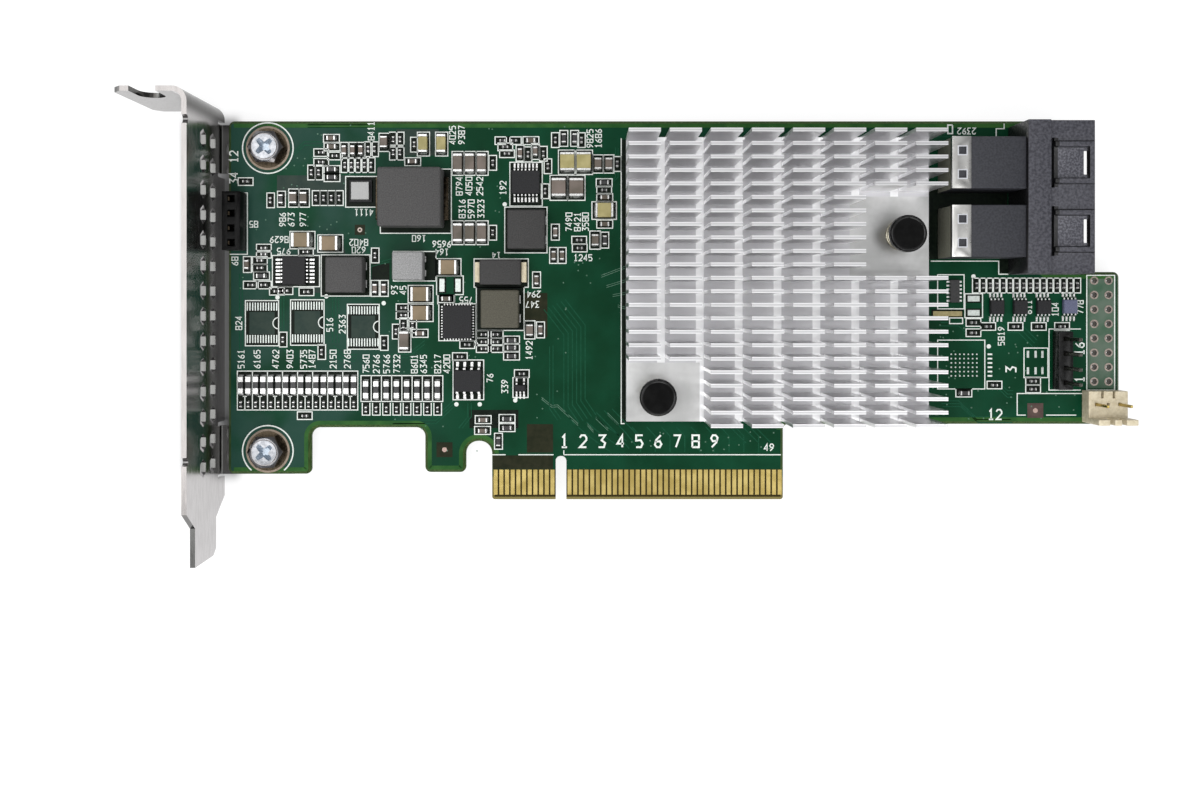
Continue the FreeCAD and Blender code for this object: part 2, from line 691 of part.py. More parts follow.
# Two tabs bent in from the low edge to lie under the board, each with a collar for its screw
stub = f"{BACK} + tab_recess_height"
for screw_y in SCREW_Y:
    tab_low = f"{screw_y} - bracket_tab_width / 2"
    tab_high = f"{screw_y} + bracket_tab_width / 2"
    recess = rectangle(f"{tab_low} - bracket_tab_relief", f"{tab_high} + bracket_tab_relief",
                       f"{BRACKET_LOW} - cut_margin", stub)
    block(bracket, "YZ_Plane", recess, beside, across, "Pocket")
    tab = [(outer, f"{stub} + tab_overlap", None),
           (outer, f"{BACK} - sheet_thickness", "bracket_tab_bend + sheet_thickness"),
           (f"{inner} + bracket_tab_reach", f"{BACK} - sheet_thickness", None),
           (f"{inner} + bracket_tab_reach", BACK, None),
           (inner, BACK, "bracket_tab_bend"),
           (inner, f"{stub} + tab_overlap", None)]
    block(bracket, "XZ_Plane", tab, f"-({tab_high})", "bracket_tab_width")
    collar_round = (SCREW_X, screw_y, "collar_radius")
    collar = circles(bracket, "XY_Plane", [collar_round], f"{BACK} - sheet_thickness")
    feature(bracket, "Pad", collar, "collar_height", reverse=True)
    thread_round = (SCREW_X, screw_y, "screw_thread_radius + thread_clearance")
    drill(bracket, "XY_Plane", [thread_round], BACK, "sheet_thickness + collar_height + cut_margin")

# Screws with a hexagon head, a low dome and a cross recess
screws = []
for screw_y in SCREW_Y:
    screw = new_body("bracket_screw")
    head = polygon("0", "0", "screw_head_radius", 6)
    block(screw, "XY_Plane", head, FRONT, "screw_head_height")
    head_top = f"{FRONT} + screw_head_height"
    crown = circles(screw, "XY_Plane", [("0", "0", "screw_dome_radius")], head_top)
    feature(screw, "Pad", crown, "screw_dome_height")
    shank = circles(screw, "XY_Plane", [("0", "0", "screw_thread_radius")], FRONT)
    feature(screw, "Pad", shank, "board_thickness + sheet_thickness + collar_height", reverse=True)
    arm, half = "screw_recess_length / 2", "screw_recess_width / 2"
    cross = [(arm, f"-{half}", None), (arm, half, None), (half, half, None), (half, arm, None),
             (f"-{half}", arm, None), (f"-{half}", half, None), (f"-{arm}", half, None),
             (f"-{arm}", f"-{half}", None), (f"-{half}", f"-{half}", None), (f"-{half}", f"-{arm}", None),
             (half, f"-{arm}", None), (half, f"-{half}", None)]
    block(screw, "XY_Plane", cross, f"{head_top} + screw_dome_height",
          "screw_recess_depth", "Pocket")
    place(screw, SCREW_X, screw_y)
    screws.append(screw)
group("bracket_screws", screws)

# Controller: substrate on the board, die on the substrate, thermal pad up to the heatsink
chip_x = f"{HEATSINK_LEFT} + {HEATSINK_LENGTH} / 2"
chip_y = f"heatsink_bottom + {HEATSINK_WIDTH} / 2"
keep(box("controller_substrate", "substrate_size", "substrate_size", "substrate_height",
         f"{chip_x} - substrate_size / 2", f"{chip_y} - substrate_size / 2", FRONT), "controller_substrate")
keep(box("controller_die", "die_length", "die_width", "die_height", f"{chip_x} - die_length / 2",
         f"{chip_y} - die_width / 2", f"{FRONT} + substrate_height"), "controller_die")
keep(box("thermal_pad", "die_length + pad_margin", "die_width + pad_margin", "pad_height",
         f"{chip_x} - (die_length + pad_margin) / 2", f"{chip_y} - (die_width + pad_margin) / 2",
         f"{FRONT} + substrate_height + die_height"), "thermal_pad")

# Heatsink: one plate with a row of long fins, cross cut into columns and milled free round the pins
heatsink = keep(new_body("heatsink"), "heatsink")
block(heatsink, "XY_Plane", rectangle(HEATSINK_LEFT, HEATSINK_RIGHT, "heatsink_bottom", HEATSINK_TOP),
      BASE_LOW, "base_thickness")
fin = block(heatsink, "XY_Plane", rectangle(HEATSINK_LEFT, HEATSINK_RIGHT, "heatsink_bottom",
                                            "heatsink_bottom + fin_thickness"), BASE_TOP, "fin_height")
repeat(heatsink, fin, "Y_Axis", "fin_rows", "fin_row_pitch")
cut_left = f"{HEATSINK_LEFT} + fin_length"
cut_right = f"{HEATSINK_LEFT} + fin_column_pitch"
cut_plan = rectangle(cut_left, cut_right, "heatsink_bottom - cut_margin", f"{HEATSINK_TOP} + cut_margin")
above_fins, cut_depth = f"{BASE_TOP} + fin_height + cut_margin", "fin_height + cut_margin"
cross_cut = block(heatsink, "XY_Plane", cut_plan, above_fins, cut_depth, "Pocket")
repeat(heatsink, cross_cut, "X_Axis", "fin_columns - 1", "fin_column_pitch")
row_gap = "(fin_row_pitch - fin_thickness) / 2"
column_gap = "(fin_column_pitch - fin_length) / 2"
left_pocket = rectangle(f"{HEATSINK_LEFT} - cut_margin",
                        f"{HEATSINK_LEFT} + left_pocket_columns * fin_column_pitch - {column_gap}",
                        "heatsink_bottom - cut_margin",
                        f"heatsink_bottom + left_pocket_rows * fin_row_pitch - {row_gap}")
right_pocket_high = f"({HEATSINK_TOP} - right_pocket_first_row * fin_row_pitch + {row_gap})"
right_pocket = rectangle(f"{HEATSINK_RIGHT} - right_pocket_columns * fin_column_pitch + {column_gap}",
                         f"{HEATSINK_RIGHT} + cut_margin",
                         f"{right_pocket_high} - right_pocket_rows * fin_row_pitch", right_pocket_high)
for pocket in (left_pocket, right_pocket):
    block(heatsink, "XY_Plane", pocket, above_fins, cut_depth, "Pocket")
drill(heatsink, "XY_Plane", [(x, y, "pin_radius + pin_clearance") for x, y in PUSH_PINS],
      f"{BASE_TOP} + cut_margin", "base_thickness + 2 * cut_margin")

# Push pins and the springs under their heads
pins, springs = [], []
head_low = f"({BASE_TOP} + spring_length)"
barb_top = f"{BACK} - pin_barb_clearance"
coil_height = "(spring_length - spring_wire - 2 * spring_seat)"
for pin_x, pin_y in PUSH_PINS:
    pin = new_body("push_pin")
    revolve(pin, [
        ("0", f"{barb_top} - pin_barb_length", None),
        ("pin_radius / 2", f"{barb_top} - pin_barb_length", None),
        ("pin_barb_radius", barb_top, None),
        ("pin_radius", barb_top, None),
        ("pin_radius", head_low, None),
        ("pin_head_radius", head_low, None),
        ("pin_head_radius", f"{head_low} + pin_head_height - pin_head_bevel", None),
        ("pin_head_radius - pin_head_bevel", f"{head_low} + pin_head_height", None),
        ("0", f"{head_low} + pin_head_height", None),
    ])
    place(pin, pin_x, pin_y)
    pins.append(pin)
    coil = doc.addObject("Part::Helix", "spring_path")
    bind(coil, "Radius", "spring_radius")
    bind(coil, "Height", coil_height)
    bind(coil, "Pitch", f"{coil_height} / spring_turns")
    wire = doc.addObject("Part::RegularPolygon", "spring_wire")
    wire.Polygon = WIRE_SIDES
    bind(wire, "Circumradius", "spring_wire / 2")
    wire.Placement.Rotation = FreeCAD.Rotation(FreeCAD.Vector(1, 0, 0), 90)
    bind(wire, "Placement.Base.x", "spring_radius")
    spring = doc.addObject("Part::Sweep", "spring")
    spring.Sections = [wire]
    spring.Spine = (coil, ["Edge1"])
    spring.Solid = True
    spring.Frenet = True
    place(spring, pin_x, pin_y, f"{BASE_TOP} + spring_wire / 2 + spring_seat")
    springs.append(spring)
group("push_pins", pins)
group("push_pin_springs", springs)

# Housing of the double port: a raised band, two mouths, latch frames and slits
housing = keep(new_body("port_housing"), "port_housing")
side_low = f"{HOUSING_MIDDLE} - housing_width / 2"
side_high = f"{HOUSING_MIDDLE} + housing_width / 2"
block(housing, "XY_Plane", rectangle(HOUSING_LEFT, HOUSING_RIGHT, side_low, side_high), FRONT,
      "housing_height")
band_right = f"({HOUSING_LEFT} + band_length)"
block(housing, "XY_Plane", rectangle(HOUSING_LEFT, band_right, side_low, side_high), FRONT, "band_height")
roof = f"({FRONT} + housing_height)"
frame_left = f"({band_right} + latch_slot_length)"
for middle in PORTS.values():
    frame = rectangle(frame_left, f"{frame_left} + frame_length", f"{middle} - frame_width / 2",
                      f"{middle} + frame_width / 2")
    block(housing, "XY_Plane", frame, roof, "frame_rise")
    recess = rectangle(f"{frame_left} - frame_recess", f"{frame_left} + frame_length - frame_wall",
                       f"{middle} - frame_width / 2 + frame_wall",
                       f"{middle} + frame_width / 2 - frame_wall")
    block(housing, "XY_Plane", recess, f"{roof} + frame_rise", "frame_rise + frame_recess", "Pocket")
    slit = rectangle(f"{frame_left} + frame_length - frame_wall - slit_length",
                     f"{frame_left} + frame_length - frame_wall", f"{middle} - slit_width / 2",
                     f"{middle} + slit_width / 2")
    block(housing, "XY_Plane", slit, roof, "slit_depth", "Pocket")
    latch_slot = rectangle(band_right, f"{band_right} + latch_slot_length",
                           f"{middle} - latch_slot_width / 2", f"{middle} + latch_slot_width / 2")
    block(housing, "XY_Plane", latch_slot, roof, "slit_depth", "Pocket")
    mouth = rectangle(f"{middle} - port_width / 2", f"{middle} + port_width / 2", f"{FRONT} + port_floor",
                      f"{FRONT} + port_floor + port_height")
    block(housing, "YZ_Plane", mouth, HOUSING_RIGHT, "housing_length - rear_wall", "Pocket")
    window = rectangle(f"{middle} - nose_width / 2 - nose_clearance",
                       f"{middle} + nose_width / 2 + nose_clearance",
                       f"{FRONT} + nose_bottom - nose_clearance",
                       f"{FRONT} + nose_bottom + nose_height + nose_clearance")
    block(housing, "YZ_Plane", window, f"{HOUSING_LEFT} + rear_wall", "rear_wall + cut_margin", "Pocket")

# Receptacles with a nose of two card slots, the plate over their rear edge and their contacts
clips, contacts = [], []
for port, middle in PORTS.items():
    receptacle = keep(new_body(f"{port}_receptacle"), f"{port}_receptacle")
    receptacle_plan = rectangle(RECEPTACLE_REAR, HOUSING_LEFT, f"{middle} - receptacle_width / 2",
                                f"{middle} + receptacle_width / 2")
    block(receptacle, "XY_Plane", receptacle_plan, FRONT, "receptacle_height")
    nose = rectangle(f"{middle} - nose_width / 2", f"{middle} + nose_width / 2", f"{FRONT} + nose_bottom",
                     f"{FRONT} + nose_bottom + nose_height")
    block(receptacle, "YZ_Plane", nose, HOUSING_LEFT, "nose_length")
    nose_tip = f"({HOUSING_LEFT} + nose_length)"
    for card in range(2):
        slot_middle = f"({FRONT} + nose_bottom + card_slot_low + {card} * card_slot_pitch)"
        card_slot = rectangle(f"{middle} - card_slot_width / 2", f"{middle} + card_slot_width / 2",
                              f"{slot_middle} - card_slot_height / 2",
                              f"{slot_middle} + card_slot_height / 2")
        block(receptacle, "YZ_Plane", card_slot, nose_tip, "card_slot_depth", "Pocket")
        for step in range(SIZES["port_contact_count"]):
            shift = f"({step} - (port_contact_count - 1) / 2) * port_contact_pitch"
            contact_y = f"{middle} + {shift} - port_contact_width / 2"
            for level in (f"{slot_middle} - card_slot_height / 2",
                          f"{slot_middle} + card_slot_height / 2 - port_contact_thickness"):
                contacts.append(box("port_contact", "card_slot_depth - port_contact_setback",
                                    "port_contact_width", "port_contact_thickness",
                                    f"{nose_tip} - card_slot_depth", contact_y, level))
    clip = new_body(f"{port}_clip")
    clip_top = f"{FRONT} + receptacle_height + clip_thickness"
    clip_profile = [(f"{RECEPTACLE_REAR} - clip_thickness", f"{clip_top} - clip_drop", None),
                    (RECEPTACLE_REAR, f"{clip_top} - clip_drop", None),
                    (RECEPTACLE_REAR, f"{FRONT} + receptacle_height", None),
                    (f"{RECEPTACLE_REAR} + clip_length", f"{FRONT} + receptacle_height", None),
                    (f"{RECEPTACLE_REAR} + clip_length", clip_top, None),
                    (f"{RECEPTACLE_REAR} - clip_thickness", clip_top, None)]
    block(clip, "XZ_Plane", clip_profile, f"-({middle} + receptacle_width / 2)", "receptacle_width")
    for side in (-1, 1):
        window_middle = f"{middle} + {side} * clip_window_offset"
        clip_hole = rectangle(f"{RECEPTACLE_REAR} + clip_length / 2 - clip_window / 2",
                              f"{RECEPTACLE_REAR} + clip_length / 2 + clip_window / 2",
                              f"{window_middle} - clip_window / 2", f"{window_middle} + clip_window / 2")
        block(clip, "XY_Plane", clip_hole, f"{clip_top} + cut_margin", "clip_thickness + cut_margin",
              "Pocket")
    clips.append(clip)
group("receptacle_clips", clips)
group("port_contacts", contacts)

# Left bus header with four sockets and their contacts
bus = keep(new_body("bus_header"), "bus_header")
bus_length = "header_positions * pin_pitch"
block(bus, "XY_Plane", rectangle("-board_left", "-board_left + bus_header_width", "bus_header_bottom",
                                 f"bus_header_bottom + {bus_length}"), FRONT, "bus_header_height")
bus_contacts = []
for step in range(SIZES["header_positions"]):
    socket_y = f"bus_header_bottom + ({step} + 0.5) * pin_pitch"
    socket_x = "-board_left + bus_header_width / 2"
    socket = rectangle(f"{socket_x} - bus_socket / 2", f"{socket_x} + bus_socket / 2",
                       f"{socket_y} - bus_socket / 2", f"{socket_y} + bus_socket / 2")
    block(bus, "XY_Plane", socket, f"{FRONT} + bus_header_height", "bus_socket_depth", "Pocket")
    bus_contacts.append(box("bus_contact", "bus_contact_thickness", "bus_contact_width",
                            "bus_contact_height", f"{socket_x} - bus_socket / 2",
                            f"{socket_y} - bus_contact_width / 2",
                            f"{FRONT} + bus_header_height - bus_socket_depth"))
group("bus_header_contacts", bus_contacts)

# Pin header: a block of four cells with square pins through the board
header = keep(new_body("pin_header"), "pin_header")
header_high = f"header_bottom + {bus_length}"
block(header, "XY_Plane", rectangle(f"{HEADER_X} - pin_pitch / 2", f"{HEADER_X} + pin_pitch / 2",
                                    "header_bottom", header_high), FRONT, "header_body_height")
header_pins = []
for step in range(SIZES["header_positions"]):
    cell_y = f"header_bottom + ({step} + 0.5) * pin_pitch"
    opening = rectangle(f"{HEADER_X} - header_pin / 2", f"{HEADER_X} + header_pin / 2",
                        f"{cell_y} - header_pin / 2", f"{cell_y} + header_pin / 2")
    block(header, "XY_Plane", opening, f"{FRONT} + header_body_height", "header_body_height + cut_margin",
          "Pocket")
    header_pins.append(box("header_pin", "header_pin", "header_pin",
                           "header_pin_height + board_thickness + header_tail",
                           f"{HEADER_X} - header_pin / 2", f"{cell_y} - header_pin / 2",
                           f"{BACK} - header_tail"))
group("pin_header_pins", header_pins)

# Cream header: three cells, a lock wall with two slots and pins in the outer cells
lock = keep(new_body("lock_header"), "lock_header")
lock_left = f"({LOCK_X} - lock_length / 2)"
lock_right = f"({LOCK_X} + lock_length / 2)"
wall_high = "(lock_bottom + lock_wall_thickness)"
block(lock, "XY_Plane", rectangle(lock_left, lock_right, "lock_bottom", f"{wall_high} + lock_body_width"),
      FRONT, "lock_body_height")
block(lock, "XY_Plane", rectangle(lock_left, lock_right, "lock_bottom", wall_high), FRONT,
      "lock_wall_height")
for side in (-1, 1):
    groove_x = f"{LOCK_X} + {side} * lock_pitch / 2"
    groove = rectangle(f"{groove_x} - lock_groove / 2", f"{groove_x} + lock_groove / 2",
                       f"{wall_high} + lock_body_width - lock_groove_length",
                       f"{wall_high} + lock_body_width + cut_margin")
    block(lock, "XY_Plane", groove, f"{FRONT} + lock_body_height", "lock_body_height + cut_margin", "Pocket")
    wall_slot = rectangle(f"{groove_x} - lock_groove", f"{groove_x} + lock_groove",
                          "lock_bottom - cut_margin", f"{wall_high} + cut_margin")
    block(lock, "XY_Plane", wall_slot, f"{FRONT} + lock_wall_height", "lock_slot_depth", "Pocket")
for step in (-1, 0, 1):
    pin_x = f"{LOCK_X} + {step} * lock_pitch"
    opening = rectangle(f"{pin_x} - lock_pin / 2", f"{pin_x} + lock_pin / 2",
                        f"{LOCK_BACK_Y} - lock_pin / 2", f"{LOCK_BACK_Y} + lock_pin / 2")
    block(lock, "XY_Plane", opening, f"{FRONT} + lock_body_height", "lock_body_height + cut_margin",
          "Pocket")
group("lock_header_pins", [
    box("lock_pin", "lock_pin", "lock_pin", "lock_pin_height + board_thickness + header_tail",
        f"{LOCK_X} + {step} * lock_pitch - lock_pin / 2", f"{LOCK_BACK_Y} - lock_pin / 2",
        f"{BACK} - header_tail")
    for step in (-1, 1)])

# Large power inductor between two folded terminals
keep(package("main_inductor", MAIN_INDUCTOR, "main_inductor_height", "0"), "main_inductor")
main_x, main_y, main_length = MAIN_INDUCTOR[:3]
group("main_inductor_terminals", [
    box("terminal", "terminal_reach", "main_terminal_width", "terminal_height", x,
        f"{main_y} - main_terminal_width / 2", FRONT)
    for x in (f"{main_x - main_length / 2} - terminal_reach", f"{main_x + main_length / 2}")])

# Moulded inductors, the inductor with end terminals and the metal-can oscillator
for name, spot in MOULDED_INDUCTORS.items():
    keep(package(name, spot, "inductor_height", "0"), name)
keep(package("end_inductor", END_INDUCTOR, "inductor_height", "0"), "end_inductor")
end_x, end_y, end_length = END_INDUCTOR[:3]
group("end_inductor_terminals", [
    box("end_terminal", "terminal_reach", "end_terminal_width", "end_terminal_height", x,
        f"{end_y} - end_terminal_width / 2", FRONT)
    for x in (f"{end_x - end_length / 2} - terminal_reach", f"{end_x + end_length / 2}")])
keep(package("oscillator", OSCILLATOR, "chip_height", "0"), "oscillator")

# Chip packages and their leads
keep(package("power_stage", POWER_STAGE, "chip_height", "0"), "power_stage")
keep(package("left_regulator", LEFT_REGULATOR, "chip_height"), "left_regulator")
keep(package("right_regulator", RIGHT_REGULATOR, "chip_height"), "right_regulator")
keep(package("flash_memory", FLASH_MEMORY, "memory_height"), "flash_memory")
keep(package("supervisor", SUPERVISOR, "chip_height"), "supervisor")
keep(package("sensor_chip", SENSOR, "chip_height"), "sensor_chip")
group("buffer_chips", [package("buffer_chip", spot, "chip_height") for spot in BUFFERS])
fine = ("lead_pitch_fine", "lead_width_fine", "chip_height / 2")
coarse = ("lead_pitch_coarse", "lead_width_coarse", "memory_height / 2")
all_leads = lead_rows(LEFT_REGULATOR, 7, *fine, sideways=True)
all_leads += lead_rows(RIGHT_REGULATOR, 7, *fine, sideways=False)
all_leads += lead_rows(FLASH_MEMORY, 4, *coarse, sideways=False)
all_leads += lead_rows(SUPERVISOR, 3, *fine, sideways=False, free=[(1, 1)])
for spot in BUFFERS + [SENSOR]:
    all_leads += lead_rows(spot, 4, *fine, sideways=False)
group("package_leads", all_leads)

# Chip components
chips("film_capacitors", "large", FILM_UPRIGHT, FILM_FLAT)
chips("bulk_capacitors", "large", BULK_UPRIGHT, BULK_FLAT)
chips("long_capacitors", "long", LONG_UPRIGHT)
chips("medium_capacitors", "medium", MEDIUM_UPRIGHT)
chips("small_capacitors", "small", SMALL_UPRIGHT, SMALL_FLAT)
chips("tiny_capacitors", "tiny", TINY_UPRIGHT, TINY_FLAT)
chips("small_resistors", "small", RESISTOR_UPRIGHT, RESISTOR_FLAT)
chips("slim_resistors", "slim", SLIM_UPRIGHT)
chips("tiny_resistors", "tiny", TINY_RESISTOR_UPRIGHT)
chips("resistor_network", "network", NETWORK_UPRIGHT)

doc.recompute()
for item in doc.Objects:
    if {"Invalid", "Error"} & set(item.State):
        raise RuntimeError(f"{item.Label} did not compute: {item.State}")
for item in nodes:
    if item.Shape.isNull() or not item.Shape.isValid():
        raise RuntimeError(f"{item.Label} has no valid shape")

os.makedirs("parts", exist_ok=True)
for item in nodes:
    item.Shape.exportStep(f"parts/{item.Label}.step")
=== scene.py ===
"""Looks of the host bus adapter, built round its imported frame. Sizes here are in millimetres."""

import math
import random

import bmesh
import bpy
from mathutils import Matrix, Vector


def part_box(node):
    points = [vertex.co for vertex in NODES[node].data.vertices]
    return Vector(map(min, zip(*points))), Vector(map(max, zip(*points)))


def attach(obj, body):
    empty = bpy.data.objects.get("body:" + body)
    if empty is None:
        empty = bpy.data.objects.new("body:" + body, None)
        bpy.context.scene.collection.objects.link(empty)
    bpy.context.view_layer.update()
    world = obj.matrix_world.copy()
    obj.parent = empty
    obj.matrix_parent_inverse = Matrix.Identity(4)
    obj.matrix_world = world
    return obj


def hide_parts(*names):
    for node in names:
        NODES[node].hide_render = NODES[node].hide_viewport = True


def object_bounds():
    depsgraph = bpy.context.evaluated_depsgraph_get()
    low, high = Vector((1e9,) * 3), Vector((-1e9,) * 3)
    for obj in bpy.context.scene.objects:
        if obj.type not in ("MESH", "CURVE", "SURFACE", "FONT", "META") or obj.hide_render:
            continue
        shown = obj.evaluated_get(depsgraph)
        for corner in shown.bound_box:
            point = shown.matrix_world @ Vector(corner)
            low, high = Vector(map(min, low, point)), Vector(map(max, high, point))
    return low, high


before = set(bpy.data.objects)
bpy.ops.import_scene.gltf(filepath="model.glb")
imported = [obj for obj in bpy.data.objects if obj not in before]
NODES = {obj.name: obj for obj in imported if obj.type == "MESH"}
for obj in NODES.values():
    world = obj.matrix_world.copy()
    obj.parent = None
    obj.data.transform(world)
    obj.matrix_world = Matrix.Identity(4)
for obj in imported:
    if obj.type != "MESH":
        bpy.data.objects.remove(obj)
CAD_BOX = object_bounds()
MM = 0.001


def box_of(node):
    """The corners of one CAD node in millimetres."""
    low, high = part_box(node)
    return low / MM, high / MM


BACK, TOP = (corner.z for corner in box_of("circuit_board"))
FLOOR = CAD_BOX[0].z / MM

# Heights of the thin layers above the face of the board
TRACK = 0.012
PATCH = 0.02
SHADE = 0.028
PAD = 0.045
INK = 0.06
# Width of a printed line
LINE = 0.17
# Distance, in metres, within which two points of a mesh are one
DOUBLED = 1e-7


# Meshes

def circle(count):
    """Points round a circle of radius one."""
    turns = [2 * math.pi * step / count for step in range(count)]
    return [(math.cos(turn), math.sin(turn)) for turn in turns]


def rings_about(x, y, profile, count):
    """Rings of points about an upright line, from radius and height pairs."""
    return [(x + radius * u, y + radius * v, level) for radius, level in profile for u, v in circle(count)]


def walls(count, bands=1):
    """Faces that join rings of points, each ring to the next."""
    faces = []
    for near in range(bands * count):
        far = near - near % count + (near + 1) % count
        faces.append((near, far, far + count, near + count))
    return faces


def ends(count, bands=1):
    """The faces that close the first ring and the last."""
    return [list(range(count))[::-1], list(range(bands * count, (bands + 1) * count))]


def rectangle(low_x, low_y, high_x, high_y):
    """The corners of a rectangle."""
    return [(low_x, low_y), (high_x, low_y), (high_x, high_y), (low_x, high_y)]


def about(x, y, half_x, half_y):
    """The limits of a rectangle about a point."""
    return x - half_x, y - half_y, x + half_x, y + half_y


def wider(limits, by_x, by_y):
    """The limits of a rectangle after its sides move out."""
    low_x, low_y, high_x, high_y = limits
    return low_x - by_x, low_y - by_y, high_x + by_x, high_y + by_y


def centre(low, high):
    """The middle of a box, seen from above."""
    return (low.x + high.x) / 2, (low.y + high.y) / 2


def long_axis(low, high):
    """The axis along which a box on the board is longer."""
    return 0 if high.x - low.x > high.y - low.y else 1


def placed(along, run, side, level):
    """A point given along and across a part that lies along one axis of the board."""
    return (run, side, level) if along == 0 else (side, run, level)


def directions(turn):
    """The directions along and across a line at an angle in degrees."""
    along = Vector((math.cos(math.radians(turn)), math.sin(math.radians(turn))))
    return along, Vector((-along.y, along.x))


def inward(outline, distance):
    """An outline drawn in towards its middle."""
    middle = [sum(point[axis] for point in outline) / len(outline) for axis in (0, 1)]
    drawn = []
    for point in outline:
        runs = [value - among for value, among in zip(point, middle)]
        drawn.append([value - math.copysign(min(distance, abs(run)), run) for value, run in zip(point, runs)])
    return drawn


def linked(name, data):
    """A new object in the scene."""
    item = bpy.data.objects.new(name, data)
    bpy.context.collection.objects.link(item)
    return item


class Shape:
    """Faces in millimetres, each with its own material, that become one piece on the card."""

    def __init__(self, name, *stands_for):
        self.name = name
        self.stands_for = stands_for
        self.points, self.faces, self.tints, self.smooth, self.materials = [], [], [], [], []

    def add(self, points, faces, material, smooth=False):
        """Adds faces that point into a list of new points."""
        start = len(self.points)
        if material not in self.materials:
            self.materials.append(material)
        self.points += [tuple(point) for point in points]
        self.faces += [[start + index for index in face] for face in faces]
        self.tints += [self.materials.index(material)] * len(faces)
        self.smooth += [smooth] * len(faces)

    def add_mesh(self, mesh, x, y):
        """Adds a finished mesh at a place on the board."""
        points = [vertex.co / MM + Vector((x, y, 0)) for vertex in mesh.vertices]
        for index, material in enumerate(mesh.materials):
            faces = [list(face.vertices) for face in mesh.polygons if face.material_index == index]
            self.add(points, faces, material)

    def box(self, low, high, material, bevel=0.0):
        """A block whose edges and corners are chamfered."""
        if bevel == 0:
            self.prism(rectangle(*low[:2], *high[:2]), low[2], high[2], material)
            return
        points, index = [], {}
        limits = (low, high)
        for corner in range(8):
            bits = [(corner >> axis) & 1 for axis in range(3)]
            for flat in range(3):
                index[corner, flat] = len(points)
                points.append([limits[bit][axis] + (0 if axis == flat else bevel * (1 - 2 * bit))
                               for axis, bit in enumerate(bits)])
        faces = []
        for flat in range(3):
            one, other = (flat + 1) % 3, (flat + 2) % 3
            first, second = 1 << one, 1 << other
            for side in (0, 1 << flat):
                face = [index[side + step, flat] for step in (0, first, first + second, second)]
                faces.append(face if side else face[::-1])
            for near in (0, first, second, first + second):
                far = near + (1 << flat)
                faces.append([index[near, one], index[far, one], index[far, other], index[near, other]])
        for corner in range(8):
            faces.append([index[corner, flat] for flat in range(3)])
        self.add(points, faces, material)

    def flat(self, limits, height, material, bevel=0.0):
        """A thin block on the face of the board."""
        self.box((*limits[:2], TOP), (*limits[2:], TOP + height), material, bevel)

    def loft(self, rings, material):
        """A solid that runs through rings of points, one after the other."""
        count, bands = len(rings[0]), len(rings) - 1
        points = [point for ring in rings for point in ring]
        self.add(points, walls(count, bands) + ends(count, bands), material)

    def prism(self, outline, low, high, material, draw=0.0):
        """An outline raised from one level to another; draw pulls its top in towards the middle."""
        upper = inward(outline, draw)
        self.loft([[(x, y, low) for x, y in outline], [(x, y, high) for x, y in upper]], material)

    def stroke(self, path, width, low, high, material, closed=False):
        """A flat line of one width with mitred corners."""
        count = len(path)
        lefts, rights = [], []
        for step, point in enumerate(path):
            before = path[step - 1] if closed or step else None
            after = path[(step + 1) % count] if closed or step < count - 1 else None
            runs = [(Vector(b) - Vector(a)).normalized() for a, b in ((before, point), (point, after))
                    if a is not None and b is not None]
            along = sum(runs, Vector((0, 0)))
            along = along.normalized() if along.length > 1e-6 else runs[0]
            across = Vector((-along.y, along.x))
            reach = width / 2 / max(0.35, abs(across.dot(Vector((-runs[0].y, runs[0].x)))))
            lefts.append(Vector(point) + across * reach)
            rights.append(Vector(point) - across * reach)
        for step in range(count if closed else count - 1):
            far = (step + 1) % count
            self.prism([rights[step], rights[far], lefts[far], lefts[step]], low, high, material)

    def ring(self, x, y, inner, outer, low, high, material, segments=28):
        """A flat ring, or a disc where the inner radius is nought."""
        if inner == 0:
            self.prism([(x + outer * u, y + outer * v) for u, v in circle(segments)], low, high, material)
            return
        section = ((inner, low), (outer, low), (outer, high), (inner, high))
        points = rings_about(x, y, section, segments)
        faces = [[index % len(points) for index in face] for face in walls(segments, len(section))]
        self.add(points, faces, material)

    def flat_ring(self, x, y, inner, outer, height, material, segments):
        """A thin ring or disc on the face of the board."""
        self.ring(x, y, inner, outer, TOP, TOP + height, material, segments)

    def turned(self, profile, x, y, material, segments=40):
        """A round solid turned from radius and height pairs that run upwards."""
        self.add(rings_about(x, y, profile, segments), walls(segments, len(profile) - 1), material, True)

    def tube(self, path, radius, material, sides=10):
        """A round wire along a path of points, closed at its ends."""
        spots = [Vector(point) for point in path]
        last = len(spots) - 1
        points = []
        across = Vector((0, 0, 1))
        for step, spot in enumerate(spots):
            along = (spots[min(step + 1, last)] - spots[max(step - 1, 0)]).normalized()
            across = (across - along * across.dot(along)).normalized()
            other = along.cross(across)
            points += [spot + radius * (across * u + other * v) for u, v in circle(sides)]
        self.add(points, walls(sides, last), material, True)
        self.add(points, ends(sides, last), material)

    def loose(self):
        """The object by itself."""
        mesh = bpy.data.meshes.new(self.name)
        mesh.from_pydata([Vector(point) * MM for point in self.points], [], self.faces)
        for material in self.materials:
            mesh.materials.append(material)
        mesh.polygons.foreach_set("material_index", self.tints)
        mesh.polygons.foreach_set("use_smooth", self.smooth)
        mesh.update()
        return linked(self.name, mesh)

    def piece(self):
        """The finished object, riding on the card."""
        item = self.loose()
        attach(item, "root")
        if self.stands_for:
            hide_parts(*self.stands_for)


def welded(data):
    """A copy of a mesh to work on, with its doubled points joined."""
    mesh = bmesh.new()
    mesh.from_mesh(data)
    bmesh.ops.remove_doubles(mesh, verts=mesh.verts, dist=DOUBLED)
    return mesh


